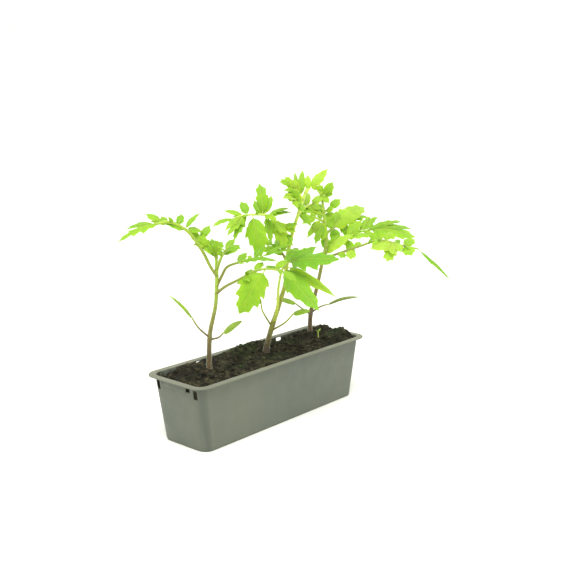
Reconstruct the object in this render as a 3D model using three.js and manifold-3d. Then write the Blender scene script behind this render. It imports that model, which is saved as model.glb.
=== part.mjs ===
// Three young tomato plants in a long plastic trough filled with peat.
//
// Millimetres, +Z up. The origin is the centre of the trough's base. X runs along the trough,
// and the plants stand in a row along it: left, middle and right.
//
// Every piece is a solid of its own. A compound leaf is one solid: its leaflets are joined to the
// leaf's rib, and the rib ends in a seat cut to the stem's own surface.

import * as THREE from 'three';
import { mergeVertices } from 'three/addons/utils/BufferGeometryUtils.js';
import Module from 'manifold-3d';

const wasm = await Module();
wasm.setup();

// ---------------------------------------------------------------- driving dimensions

const SEAT_GAP = 0.3;

const TROUGH = {
  length: 300,
  width: 95,
  height: 78.5,
  lip: 7.4,
  lipThickness: 1.3,
  wall: 1.4,
  floor: 1.6,
  endTaper: 9.8,
  sideTaper: 4.3,
  cornerRadius: 18,
  footRadius: 12,
  cornerSteps: 4,
};

// A grip hangs from the lip before the middle of each short end. The wall has a window behind
// each of the grip's sides, and a slot beyond it.
const GRIP = { width: 37, depth: 9.8, thickness: 1.1, inset: 5.4 };
const GRIP_WINDOW = { width: 8, height: 8.3, offset: 18, top: 77.2 };
const END_SLOT = { width: 5.5, height: 10.6, offset: 29.8, top: 73 };
const REAR_HOLE = { width: 10, height: 6.8, offset: 70.5, top: 77.2 };

const SOIL = {
  level: 74.5,
  endDip: 5,
  crown: 3,
  grain: 3,
  depth: 26,
  cellsX: 36,
  cellsY: 11,
};

// Heaps of peat and hollows before the holes on the far side, as [x, y, rise, spread].
const SOIL_BANKS = [
  [6, 33, 10, 30],
  [129, 13, 7.5, 26],
  [129, -16, 9, 24],
  [70, 44, -11, 20],
  [-67, 44, 5, 13],
];

const STEM = { sides: 8, steps: 15, footRadius: 2.9, tipRadius: 1.1, flare: 1.1, flareHeight: 10 };
const RIB = { sides: 5, stepLength: 8, footRadius: 1.6, tipRadius: 0.75 };
const BLADE = {
  thickness: 0.75,
  stalkWidth: 1.5,
  stalkThickness: 1.2,
  stalk: 0.12,
  notch: 0.62,
  sweep: 0.3,
  fold: 0.22,
  arch: 0.1,
};
const SEED_LEAF = { width: 9, stalk: 0.06, tilt: 40 };

// A stem leans along this heading, in degrees from +X. Its course is a list of [lean, height].
const LEAN_HEADING = -49;

const STEMS = {
  left: {
    foot: [-80, 12, 70],
    course: [[0, 0], [2, 47], [9, 80], [11, 110], [11, 133], [12, 146]],
  },
  middle: {
    foot: [11, 6.5, 76],
    course: [[0, 0], [7, 30], [16, 58], [24, 86], [27, 120], [34, 151], [45, 185], [50, 201]],
  },
  right: {
    foot: [106, 15, 72],
    course: [[0, 0], [1, 35], [8, 65], [17, 108], [21, 131], [18, 162], [14, 195]],
  },
};

// A leaf starts on its stem at a height above the stem's foot and grows along its heading.
// Its rib is a list of [out, up]. A leaflet is [place on the rib, out, left, up, width, tilt]:
// out, left and up give its tip, and tilt leans its upper face from the sky to the light.
const LIGHT_HEADING = 221;
const LEAVES = {
  left: [
    {
      name: 'left_leaf_1',
      height: 94,
      heading: -66,
      rib: [[12, 9], [25, 16], [45, 27], [59, 31], [78, 30]],
      leaflets: [
        [1.0, 96, -4, 20, 10, 30],
        [0.78, 33, -16, -17, 37, 80],
      ],
    },
    {
      name: 'left_leaf_2',
      height: 102,
      heading: -34,
      rib: [[6, 11], [12, 21], [26, 26], [41, 29], [53, 31]],
      leaflets: [
        [1.0, 91, -4, 45, 10, 12],
        [0.61, 68, -20, 28, 11, 22],
      ],
    },
    {
      name: 'left_leaf_3',
      height: 114,
      heading: 152,
      rib: [[6, 9], [17, 31], [34, 54], [54, 64], [73, 61]],
      leaflets: [
        [0.9, 111, 4, 45, 19, 27],
        [0.94, 100, -6, 57, 11, 30],
      ],
    },
    {
      name: 'left_leaf_4',
      height: 121,
      heading: -105,
      rib: [[11, 15], [18, 22], [27, 29]],
      leaflets: [
        [1.0, 44, 6, 29, 10, 40],
      ],
    },
    {
      name: 'left_leaf_5',
      height: 134,
      heading: 118,
      rib: [[3, 8], [8, 12], [15, 18], [21, 24]],
      leaflets: [
        [1.0, 31, 4, 35, 9, 45],
        [0.35, 28, 7, 27, 22, 62],
        [0.34, -4, -13, 17, 11, 45],
        [0.2, 8, -8, 21, 13, 60],
      ],
    },
  ],
  middle: [
    {
      name: 'middle_leaf_1',
      height: 38,
      heading: -112,
      rib: [[7, 10], [12, 24], [15, 47], [25, 69], [39, 79]],
      leaflets: [
        [1.0, 100, 34, 90, 31, 42],
        [0.85, 100, 8, 34, 25, 70],
        [0.93, 80, 42, 42, 11, 78],
        [0.94, 8, 30, 91, 13, 45],
        [0.97, 53, 32, 98, 14, 45],
      ],
    },
    {
      name: 'middle_leaf_2',
      height: 112,
      heading: 70,
      rib: [[7, 6], [20, 12], [35, 15]],
      leaflets: [
        [1.0, 69, 2, 17, 12, 45],
      ],
    },
    {
      name: 'middle_leaf_3',
      height: 137,
      heading: 152,
      rib: [[13, 13], [22, 26], [28, 32], [38, 34], [59, 34], [70, 31]],
      leaflets: [
        [1.0, 98, 4, 23, 9, 25],
        [0.8, 57, -14, 49, 11, 50],
        [0.58, 35, -10, 70, 17, 80],
        [0.73, 42, 14, -14, 24, 80],
        [0.82, 77, 20, 7, 11, 40],
        [0.47, 10, 14, -4, 18, 70],
        [0.35, -3, 12, 13, 12, 50],
        [0.53, 30, 16, 1, 11, 60],
        [0.8, 86, 22, 14, 11, 45],
        [0.42, 12, 18, 13, 15, 55],
        [0.19, 2, 12, -3, 12, 60],
      ],
    },
    {
      name: 'middle_leaf_4',
      height: 172,
      heading: 10,
      rib: [[16, 5], [33, 7]],
      leaflets: [
        [1.0, 62, 4, 13, 10, 45],
        [0.49, 34, -12, -3, 12, 30],
        [0.65, 30, -16, -5, 11, 35],
        [0.35, 22, -10, -21, 12, 55],
        [0.17, 10, -2, -18, 11, 60],
      ],
    },
    {
      name: 'middle_leaf_5',
      height: 178,
      heading: -165,
      rib: [[10, 7], [21, 12]],
      leaflets: [
        [1.0, 44, 0, 12, 10, 50],
      ],
    },
    {
      name: 'middle_leaf_6',
      height: 187,
      heading: 150,
      rib: [[8, 11], [15, 18]],
      leaflets: [
        [1.0, 31, 4, 23, 10, 60],
        [0.4, 30, 14, 5, 11, 50],
        [0.63, 16, 2, 27, 13, 70],
      ],
    },
    {
      name: 'middle_leaf_7',
      height: 194,
      heading: -30,
      rib: [[3, 3], [6, 6]],
      leaflets: [
        [1.0, 29, 0, 29, 11, 75],
      ],
    },
  ],
  right: [
    {
      name: 'right_leaf_1',
      height: 106,
      heading: -58,
      rib: [[10, 4], [26, 10], [45, 17], [74, 26], [101, 20], [121, 16]],
      leaflets: [
        [1.0, 164, 0, -24, 9, 15],
        [0.74, 83, -14, 1, 19, 70],
        [0.64, 63, -14, 18, 13, 60],
        [0.75, 101, -14, 14, 14, 50],
        [0.86, 114, -16, 10, 16, 60],
        [0.85, 117, 14, 26, 13, 30],
        [0.31, 37, -14, 1, 17, 62],
        [0.66, 87, 22, 34, 12, 40],
        [0.79, 62, -16, 17, 15, 45],
        [0.67, 95, -16, 10, 13, 55],
      ],
    },
    {
      name: 'right_leaf_2',
      height: 111,
      heading: -22,
      rib: [[14, 12], [33, 20], [48, 26], [66, 28]],
      leaflets: [
        [1.0, 138, -8, 15, 28, 40],
        [0.98, 140, 4, 25, 16, 40],
        [0.95, 126, 8, 36, 12, 40],
        [0.54, 62, 8, 41, 16, 50],
        [0.89, 83, -16, 14, 14, 50],
        [0.11, 46, -12, 30, 14, 45],
        [0.53, 37, -14, -2, 13, 60],
        [0.51, 63, -14, 24, 11, 40],
        [0.12, 4, 12, 23, 11, 50],
        [0.17, 20, -2, 26, 12, 55],
      ],
    },
    {
      name: 'right_leaf_3',
      height: 139,
      heading: 12,
      rib: [[20, 5], [41, 8], [63, 10]],
      leaflets: [
        [0.2, 105, -6, 24, 27, 62],
        [0.33, 40, 5, 25, 17, 60],
        [0.23, 20, 6, 23, 13, 60],
        [0.9, 72, -3, 24, 12, 60],
        [0.56, 56, -11, -9, 16, 55],
        [0.9, 84, -16, -3, 14, 45],
        [1.0, 98, -16, 12, 11, 40],
        [0.33, 20, -5, -10, 14, 60],
      ],
    },
    {
      name: 'right_leaf_4',
      height: 154,
      heading: 140,
      rib: [[8, 4], [17, 8]],
      leaflets: [
        [1.0, 32, 0, 8, 9, 40],
        [0.37, 19, 12, -11, 11, 60],
        [0.21, 13, 6, -27, 11, 70],
        [0.12, -12, -1, -6, 11, 60],
        [0.19, 16, 18, -26, 12, 65],
        [0.12, 6, 11, -23, 12, 65],
      ],
    },
    {
      name: 'right_leaf_5',
      height: 167,
      heading: -40,
      rib: [[4, 2], [7, 4]],
      leaflets: [
        [1.0, 22, 0, 17, 11, 65],
      ],
    },
    {
      name: 'right_leaf_6',
      height: 182,
      heading: -110,
      rib: [[3, 4], [6, 8]],
      leaflets: [
        [1.0, 11, 9, 24, 12, 80],
      ],
    },
    {
      name: 'right_leaf_7',
      height: 188,
      heading: 150,
      rib: [[3, 4], [6, 7]],
      leaflets: [
        [1.0, 16, 0, 19, 9, 60],
      ],
    },
  ],
};

// The two narrow seed leaves of each plant, low on its stem.
const SEED_LEAVES = {
  left: [
    { name: 'left_seed_leaf_1', height: 42, heading: 148, rib: [[13, 13], [20, 25]], tip: [44, 52] },
    { name: 'left_seed_leaf_2', height: 40, heading: -62, rib: [[11, 3], [17, 9]], tip: [39, 24] },
  ],
  middle: [
    { name: 'middle_seed_leaf_1', height: 32, heading: 140, rib: [[12, 22], [13, 30]], tip: [20, 41] },
    { name: 'middle_seed_leaf_2', height: 27, heading: -52, rib: [[18, 11], [28, 22]], tip: [48, 26] },
  ],
  right: [
    { name: 'right_seed_leaf_1', height: 35, heading: -58, rib: [[14, 9], [23, 12]], tip: [62, 23] },
    { name: 'right_seed_leaf_2', height: 33, heading: 124, rib: [[12, 8], [20, 14]], tip: [46, 20] },
  ],
};

const SPROUT = { foot: [97, -6], height: 8, radius: 0.9, depth: 5, blade: 6 };

// ---------------------------------------------------------------- finishes

const PLASTIC = { color: 0x7c8277, roughness: 0.5, metalness: 0 };
const PEAT = { color: 0x3a3023, roughness: 0.95, metalness: 0 };
const LEAF_GREEN = { color: 0x8fcb2c, roughness: 0.55, metalness: 0 };
const SEED_LEAF_GREEN = { color: 0x7fae3a, roughness: 0.55, metalness: 0 };
const STEM_GREEN = { color: 0x93903c, roughness: 0.5, metalness: 0 };

// ---------------------------------------------------------------- solids

function solidOf(geometry) {
  const bare = geometry.index ? geometry.clone() : mergeVertices(geometry);
  const mesh = new wasm.Mesh({
    numProp: 3,
    vertProperties: new Float32Array(bare.attributes.position.array),
    triVerts: new Uint32Array(bare.index.array),
  });
  return new wasm.Manifold(mesh);
}

function geometryOf(solid) {
  const mesh = solid.getMesh();
  const geometry = new THREE.BufferGeometry();
  geometry.setAttribute('position', new THREE.BufferAttribute(mesh.vertProperties, 3));
  geometry.setIndex(new THREE.BufferAttribute(mesh.triVerts, 1));
  return geometry;
}

function meshOf(name, solid, finish) {
  const mesh = new THREE.Mesh(geometryOf(solid), new THREE.MeshStandardMaterial(finish));
  mesh.name = name;
  return mesh;
}

function boxSolid(width, depth, height, x, y, z) {
  const box = new THREE.BoxGeometry(width, depth, height).translate(x, y, z);
  box.deleteAttribute('normal');
  box.deleteAttribute('uv');
  return solidOf(mergeVertices(box));
}

function indexedGeometry(points, faces) {
  const geometry = new THREE.BufferGeometry().setFromPoints(points);
  geometry.setIndex(faces.flat());
  return geometry;
}

// Closes a skin over a row of rings that all have the same number of points.
function skinSolid(rings) {
  const count = rings[0].length;
  const faces = [];
  for (let row = 0; row + 1 < rings.length; row += 1) {
    for (let i = 0; i < count; i += 1) {
      const next = (i + 1) % count;
      const [a, b] = [row * count + i, row * count + next];
      faces.push([a, b, b + count], [a, b + count, a + count]);
    }
  }
  const last = (rings.length - 1) * count;
  for (let i = 1; i + 1 < count; i += 1) {
    faces.push([0, i + 1, i]);
    faces.push([last, last + i, last + i + 1]);
  }
  return solidOf(indexedGeometry(rings.flat(), faces));
}

// Drops the scraps that a cut leaves behind.
function largestBody(solid) {
  const bodies = solid.decompose();
  return bodies.sort((a, b) => b.volume() - a.volume())[0];
}

// A tube whose rings stand square to a curve. The side axis is square to the curve's plane.
function tubeSolid(curve, steps, sides, sideAxis, radiusAt) {
  const rings = [];
  for (let step = 0; step <= steps; step += 1) {
    const place = step / steps;
    const centre = curve.getPointAt(place);
    const along = curve.getTangentAt(place);
    const across = new THREE.Vector3().crossVectors(along, sideAxis).normalize();
    const ring = [];
    for (let i = 0; i < sides; i += 1) {
      const turn = (2 * Math.PI * i) / sides;
      ring.push(
        centre.clone()
          .addScaledVector(sideAxis, radiusAt(place) * Math.cos(turn))
          .addScaledVector(across, radiusAt(place) * Math.sin(turn)),
      );
    }
    rings.push(ring);
  }
  return skinSolid(rings);
}

// ---------------------------------------------------------------- trough

function roundedRing(halfLength, halfWidth, radius, z) {
  const corners = [[1, 1, 0], [-1, 1, 90], [-1, -1, 180], [1, -1, 270]];
  const ring = [];
  for (const [sideX, sideY, start] of corners) {
    for (let step = 0; step <= TROUGH.cornerSteps; step += 1) {
      const turn = THREE.MathUtils.degToRad(start + (90 * step) / TROUGH.cornerSteps);
      ring.push(new THREE.Vector3(
        sideX * (halfLength - radius) + radius * Math.cos(turn),
        sideY * (halfWidth - radius) + radius * Math.sin(turn),
        z,
      ));
    }
  }
  return ring;
}

// The wall's ring at a height, moved inwards by an inset.
function wallRing(z, inset) {
  const rise = z / TROUGH.height;
  const halfLength = TROUGH.length / 2 - TROUGH.lip - TROUGH.endTaper * (1 - rise) - inset;
  const halfWidth = TROUGH.width / 2 - TROUGH.lip - TROUGH.sideTaper * (1 - rise) - inset;
  const radius = THREE.MathUtils.lerp(TROUGH.footRadius, TROUGH.cornerRadius - TROUGH.lip, rise);
  return roundedRing(halfLength, halfWidth, radius - inset, z);
}

function lipRing(z) {
  return roundedRing(TROUGH.length / 2, TROUGH.width / 2, TROUGH.cornerRadius, z);
}

function troughSolid() {
  const underLip = TROUGH.height - TROUGH.lipThickness;
  let trough = skinSolid([
    wallRing(0, 1.2),
    wallRing(1.2, 0),
    wallRing(underLip, 0),
    lipRing(underLip),
    lipRing(TROUGH.height),
    wallRing(TROUGH.height, TROUGH.wall),
    wallRing(TROUGH.floor, TROUGH.wall),
  ]);
  for (const end of [-1, 1]) {
    for (const side of [-1, 1]) {
      for (const hole of [END_SLOT, GRIP_WINDOW]) {
        trough = trough.subtract(boxSolid(
          2 * TROUGH.lip,
          hole.width,
          hole.height,
          end * (TROUGH.length / 2 - TROUGH.lip - TROUGH.wall),
          side * hole.offset,
          hole.top - hole.height / 2,
        ));
      }
    }
    trough = trough.add(boxSolid(
      GRIP.thickness,
      GRIP.width,
      GRIP.depth,
      end * (TROUGH.length / 2 - GRIP.inset - GRIP.thickness / 2),
      0,
      TROUGH.height - 0.1 - GRIP.depth / 2,
    ));
    trough = trough.subtract(boxSolid(
      REAR_HOLE.width,
      2 * TROUGH.lip,
      REAR_HOLE.height,
      end * REAR_HOLE.offset,
      TROUGH.width / 2 - TROUGH.lip - TROUGH.wall,
      REAR_HOLE.top - REAR_HOLE.height / 2,
    ));
  }
  return trough;
}

// ---------------------------------------------------------------- soil

// A smooth random surface between -1 and 1, the same on every run.
function roughness(x, y) {
  const cellValue = (i, j) => {
    const wave = Math.sin(i * 127.1 + j * 311.7) * 43758.5453;
    return 2 * (wave - Math.floor(wave)) - 1;
  };
  const [i, j] = [Math.floor(x), Math.floor(y)];
  const near = THREE.MathUtils.lerp(cellValue(i, j), cellValue(i + 1, j), x - i);
  const far = THREE.MathUtils.lerp(cellValue(i, j + 1), cellValue(i + 1, j + 1), x - i);
  return THREE.MathUtils.lerp(near, far, y - j);
}

function soilHeight(x, y) {
  const alongRim = x / (TROUGH.length / 2);
  const acrossRim = y / (TROUGH.width / 2);
  const dip = SOIL.endDip * THREE.MathUtils.smoothstep(-alongRim, 0.6, 0.95);
  const crown = SOIL.crown * (1 - acrossRim * acrossRim);
  const bank = SOIL_BANKS.reduce((sum, [bankX, bankY, rise, spread]) => (
    sum + rise * Math.exp(-((x - bankX) ** 2 + (2 * (y - bankY)) ** 2) / spread ** 2)
  ), 0);
  const clods = SOIL.grain * (roughness(x / 19, y / 17) + 0.5 * roughness(x / 8, y / 8));
  return SOIL.level + crown - dip + bank + clods;
}

function soilSolid(stems) {
  const halfLength = TROUGH.length / 2;
  const halfWidth = TROUGH.width / 2;
  const points = [];
  for (let j = 0; j <= SOIL.cellsY; j += 1) {
    for (let i = 0; i <= SOIL.cellsX; i += 1) {
      const x = halfLength * ((2 * i) / SOIL.cellsX - 1);
      const y = halfWidth * ((2 * j) / SOIL.cellsY - 1);
      points.push(new THREE.Vector3(x, y, soilHeight(x, y)));
    }
  }
  const stride = SOIL.cellsX + 1;
  const faces = [];
  for (let j = 0; j < SOIL.cellsY; j += 1) {
    for (let i = 0; i < SOIL.cellsX; i += 1) {
      const a = j * stride + i;
      faces.push([a, a + 1, a + stride + 1], [a, a + stride + 1, a + stride]);
    }
  }
  const rim = [];
  for (let i = 0; i < SOIL.cellsX; i += 1) rim.push(i);
  for (let j = 0; j < SOIL.cellsY; j += 1) rim.push(j * stride + SOIL.cellsX);
  for (let i = SOIL.cellsX; i > 0; i -= 1) rim.push(SOIL.cellsY * stride + i);
  for (let j = SOIL.cellsY; j > 0; j -= 1) rim.push(j * stride);
  const firstFoot = points.length;
  for (const index of rim) points.push(points[index].clone().setZ(-1));
  points.push(new THREE.Vector3(0, 0, -1));
  const middle = points.length - 1;
  rim.forEach((top, k) => {
    const next = (k + 1) % rim.length;
    faces.push([top, firstFoot + k, firstFoot + next], [top, firstFoot + next, rim[next]]);
    faces.push([middle, firstFoot + next, firstFoot + k]);
  });
  const heap = solidOf(indexedGeometry(points, faces));
  const inset = TROUGH.wall + SEAT_GAP;
  const room = skinSolid([
    wallRing(TROUGH.floor + SEAT_GAP, inset),
    wallRing(TROUGH.height, inset),
    wallRing(TROUGH.height, inset).map((point) => point.setZ(TROUGH.height + 30)),
  ]);
  return stems.reduce((soil, stem) => soil.subtract(stem.clearance), heap.intersect(room));
}

// ---------------------------------------------------------------- stems

function headingAxes(degrees) {
  const turn = THREE.MathUtils.degToRad(degrees);
  return {
    out: new THREE.Vector3(Math.cos(turn), Math.sin(turn), 0),
    left: new THREE.Vector3(-Math.sin(turn), Math.cos(turn), 0),
  };
}

function stemCurve(stem) {
  const { out } = headingAxes(LEAN_HEADING);
  const foot = new THREE.Vector3(...stem.foot);
  const buried = foot.clone().setZ(foot.z - SOIL.depth);
  const points = stem.course.map(([lean, height]) => foot.clone()
    .addScaledVector(out, lean)
    .setZ(foot.z + height));
  return new THREE.CatmullRomCurve3([buried, ...points]);
}

// The stem thins to its tip and flares where it comes out of the soil.
function stemTube(curve, gap, ground) {
  const { left } = headingAxes(LEAN_HEADING);
  return tubeSolid(curve, STEM.steps, STEM.sides, left, (place) => {
    const height = Math.max(0, curve.getPointAt(place).z - ground);
    const flare = STEM.flare * Math.exp(-height / STEM.flareHeight);
    return gap + flare + THREE.MathUtils.lerp(STEM.footRadius, STEM.tipRadius, place);
  });
}

function pointAtHeight(curve, z) {
  const samples = curve.getSpacedPoints(400);
  return samples.find((point) => point.z >= z) ?? samples.at(-1);
}

function growStem(stem) {
  const curve = stemCurve(stem);
  const ground = stem.foot[2];
  const tube = stemTube(curve, 0, ground);
  const wide = stemTube(curve, SEAT_GAP, ground);
  const clearance = wide.add(wide.translate([0, 0, -SEAT_GAP]));
  return { curve, tube, clearance, ground };
}

// ---------------------------------------------------------------- leaves

// The half width of a blade at each row from its stalk to its tip, as [place, half width, sweep].
function bladeRows(halfWidth, teeth, stalk) {
  const half = BLADE.stalkWidth / 2;
  const rows = [[0, half, 0], [stalk, half, 0]];
  const count = teeth > 0 ? 2 * teeth : 4;
  for (let row = 1; row <= count; row += 1) {
    const place = (row - 0.35) / (count + 0.3);
    const swell = Math.sin(Math.PI * place ** 0.8) ** 0.8;
    const isNotch = teeth > 0 && row % 2 === 0;
    const reach = halfWidth * swell * (isNotch ? BLADE.notch : 1);
    rows.push([
      THREE.MathUtils.lerp(stalk, 1, place),
      Math.max(half, reach),
      isNotch ? 0 : BLADE.sweep * reach,
    ]);
  }
  rows.push([1, 0.35, 0]);
  return rows;
}

// A thin folded blade between two points. Its rows are cut in teeth, alike on both faces.
function bladeSolid(base, tip, { width, teeth, stalk, face }) {
  const along = tip.clone().sub(base);
  const length = along.length();
  along.normalize();
  const side = new THREE.Vector3().crossVectors(face, along).normalize();
  const up = new THREE.Vector3().crossVectors(along, side).normalize();
  const rows = bladeRows(width / 2, teeth, stalk);
  const points = [];
  for (const [place, half, sweep] of rows) {
    const rise = BLADE.arch * length * Math.sin(Math.PI * place);
    const thickness = place <= stalk ? BLADE.stalkThickness : BLADE.thickness;
    for (const layer of [0.5, -0.5]) {
      for (const across of [1, 0, -1]) {
        points.push(
          base.clone()
            .addScaledVector(along, place * length + Math.abs(across) * sweep)
            .addScaledVector(side, across * half)
            .addScaledVector(up, rise - Math.abs(across) * half * BLADE.fold + layer * thickness),
        );
      }
    }
  }
  const faces = [];
  for (let row = 0; row + 1 < rows.length; row += 1) {
    const a = row * 6;
    const b = a + 6;
    faces.push([a, a + 1, b + 1], [a, b + 1, b], [a + 2, b + 1, a + 1], [a + 2, b + 2, b + 1]);
    faces.push([a + 3, b + 4, a + 4], [a + 3, b + 3, b + 4]);
    faces.push([a + 5, a + 4, b + 4], [a + 5, b + 4, b + 5]);
    faces.push([a, b + 3, a + 3], [a, b, b + 3], [a + 2, b + 5, b + 2], [a + 2, a + 5, b + 5]);
  }
  const z = (rows.length - 1) * 6;
  faces.push([0, 4, 1], [0, 3, 4], [1, 5, 2], [1, 4, 5]);
  faces.push([z, z + 1, z + 4], [z, z + 4, z + 3], [z + 1, z + 2, z + 5], [z + 1, z + 5, z + 4]);
  return solidOf(indexedGeometry(points, faces));
}

function teethFor(length) {
  if (length > 40) return 4;
  return length > 22 ? 3 : 2;
}

function leafFrame(stem, leaf) {
  const { out, left } = headingAxes(leaf.heading);
  const root = pointAtHeight(stem.curve, stem.ground + leaf.height);
  const place = (o, l, u) => root.clone()
    .addScaledVector(out, o)
    .addScaledVector(left, l)
    .setZ(root.z + u);
  const ribPoints = leaf.rib.map(([o, u]) => place(o, 0, u));
  const rib = new THREE.CatmullRomCurve3([root, ...ribPoints]);
  return { left, place, rib };
}

function ribSolid(frame) {
  const steps = Math.max(3, Math.round(frame.rib.getLength() / RIB.stepLength));
  return tubeSolid(frame.rib, steps, RIB.sides, frame.left, (place) => (
    THREE.MathUtils.lerp(RIB.footRadius, RIB.tipRadius, place)
  ));
}

// The way a blade's upper face looks, leaned by a tilt in degrees from the sky to the light.
function faceAt(tilt) {
  const { out } = headingAxes(LIGHT_HEADING);
  const lean = THREE.MathUtils.degToRad(tilt);
  return out.multiplyScalar(Math.sin(lean)).setZ(Math.cos(lean));
}

function leafSolid(stem, leaf) {
  const frame = leafFrame(stem, leaf);
  const pieces = [ribSolid(frame)];
  for (const [at, out, left, up, width, tilt] of leaf.leaflets) {
    const base = frame.rib.getPointAt(at);
    const tip = frame.place(out, left, up);
    pieces.push(bladeSolid(base, tip, {
      width,
      teeth: teethFor(base.distanceTo(tip)),
      stalk: BLADE.stalk,
      face: faceAt(tilt),
    }));
  }
  return largestBody(wasm.Manifold.union(pieces).subtract(stem.clearance));
}

function seedLeafSolid(stem, leaf) {
  const frame = leafFrame(stem, leaf);
  const blade = bladeSolid(frame.rib.getPointAt(1), frame.place(leaf.tip[0], 0, leaf.tip[1]), {
    width: SEED_LEAF.width,
    teeth: 0,
    stalk: SEED_LEAF.stalk,
    face: faceAt(SEED_LEAF.tilt),
  });
  return largestBody(ribSolid(frame).add(blade).subtract(stem.clearance));
}

// ---------------------------------------------------------------- sprout

function growSprout() {
  const [x, y] = SPROUT.foot;
  const ground = soilHeight(x, y);
  const { out, left } = headingAxes(0);
  const tube = (gap) => tubeSolid(
    new THREE.LineCurve3(
      new THREE.Vector3(x, y, ground - SPROUT.depth - gap),
      new THREE.Vector3(x, y, ground + SPROUT.height),
    ),
    1,
    6,
    left,
    () => SPROUT.radius + gap,
  );
  const top = new THREE.Vector3(x, y, ground + SPROUT.height - 1);
  const blades = [-1, 1].map((side) => bladeSolid(
    top,
    top.clone().addScaledVector(out, side * SPROUT.blade).setZ(top.z + SPROUT.blade / 2),
    { width: SPROUT.blade / 2, teeth: 0, stalk: 0.2, face: faceAt(0) },
  ));
  return { solid: wasm.Manifold.union([tube(0), ...blades]), clearance: tube(SEAT_GAP) };
}

// ---------------------------------------------------------------- assembly

const part = new THREE.Group();
const stems = Object.fromEntries(
  Object.entries(STEMS).map(([plant, stem]) => [plant, growStem(stem)]),
);
const sprout = growSprout();

part.add(meshOf('trough', troughSolid(), PLASTIC));
part.add(meshOf('soil', soilSolid([...Object.values(stems), sprout]), PEAT));
part.add(meshOf('sprout', sprout.solid, SEED_LEAF_GREEN));
for (const [plant, stem] of Object.entries(stems)) {
  part.add(meshOf(`${plant}_stem`, stem.tube, STEM_GREEN));
  for (const leaf of LEAVES[plant]) {
    part.add(meshOf(leaf.name, leafSolid(stem, leaf), LEAF_GREEN));
  }
  for (const leaf of SEED_LEAVES[plant]) {
    part.add(meshOf(leaf.name, seedLeafSolid(stem, leaf), SEED_LEAF_GREEN));
  }
}

export default part;
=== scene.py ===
"""Three young tomato plants in a long plastic trough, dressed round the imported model.

Shapes are worked out in millimetres, in the part's own frame, and become metres when a mesh is made.
The origin is the centre of the trough's base, X runs along the trough and +Z is up.
"""

import logging
import math
from collections.abc import Callable, Sequence
from dataclasses import dataclass, field
from enum import Enum

import bpy
import numpy as np
from mathutils import Matrix


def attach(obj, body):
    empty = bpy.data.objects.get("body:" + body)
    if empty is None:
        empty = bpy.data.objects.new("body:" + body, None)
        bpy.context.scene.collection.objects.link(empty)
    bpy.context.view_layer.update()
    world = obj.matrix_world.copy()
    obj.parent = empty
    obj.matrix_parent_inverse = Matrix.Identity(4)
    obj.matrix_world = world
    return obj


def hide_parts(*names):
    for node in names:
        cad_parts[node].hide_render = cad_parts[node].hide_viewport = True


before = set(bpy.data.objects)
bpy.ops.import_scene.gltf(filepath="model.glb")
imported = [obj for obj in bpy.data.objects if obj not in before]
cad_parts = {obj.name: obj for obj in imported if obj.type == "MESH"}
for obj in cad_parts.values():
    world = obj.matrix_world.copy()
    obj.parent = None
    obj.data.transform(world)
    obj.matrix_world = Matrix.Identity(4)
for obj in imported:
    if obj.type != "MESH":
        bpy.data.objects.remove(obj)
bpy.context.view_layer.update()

MM = 0.001
BODY = "root"
LOG = logging.getLogger("tomato_trough")

Array = np.ndarray
Pair = tuple[float, float]
Triple = tuple[float, float, float]
Colour = Triple
Faces = list[tuple[int, ...]]
Material = bpy.types.Material
Object = bpy.types.Object
Socket = bpy.types.NodeSocket
UP = np.array((0.0, 0.0, 1.0))


class Slot(str, Enum):
    """The material slots."""

    TROUGH = "trough_plastic"
    PEAT = "peat"
    LEAF = "leaf_green"
    SEED_LEAF = "seed_leaf_green"
    STEM = "stem_green"


class Plant(str, Enum):
    """The three plants, from the near end of the trough to the far end."""

    LEFT = "left"
    MIDDLE = "middle"
    RIGHT = "right"


# ---------------------------------------------------------------- small geometry


def unit(vector: Array) -> Array:
    """Returns a vector at length 1."""
    return vector / np.linalg.norm(vector, axis=-1, keepdims=True)


def smoothstep(value: Array | float, low: float, high: float) -> Array:
    """Returns how far a value is on its smooth way from low to high, from 0 to 1."""
    share = np.clip((np.asarray(value) - low) / (high - low), 0.0, 1.0)
    return share * share * (3.0 - 2.0 * share)


def heading_axes(degrees: float) -> tuple[Array, Array]:
    """Gives the level axes of a heading.

    Args:
        degrees: The heading, turned from +X.

    Returns:
        The way out along the heading, and the way to its left.
    """
    turn = math.radians(degrees)
    out = np.array((math.cos(turn), math.sin(turn), 0.0))
    left = np.array((-math.sin(turn), math.cos(turn), 0.0))
    return out, left


HASH_I, HASH_J, HASH_SIZE = 127.1, 311.7, 43758.5453


def value_noise(x: Array, y: Array) -> Array:
    """A smooth random surface between -1 and 1, the same on every run.

    Args:
        x: First coordinate, in cells.
        y: Second coordinate, in cells.

    Returns:
        The surface's height at each point.
    """

    def cell(i: Array, j: Array) -> Array:
        """Returns the fixed random value of a cell's corner."""
        wave = np.sin(i * HASH_I + j * HASH_J) * HASH_SIZE
        return 2.0 * (wave - np.floor(wave)) - 1.0

    i, j = np.floor(x), np.floor(y)
    u, v = x - i, y - j
    near = cell(i, j) * (1 - u) + cell(i + 1, j) * u
    far = cell(i, j + 1) * (1 - u) + cell(i + 1, j + 1) * u
    return near * (1 - v) + far * v


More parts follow.
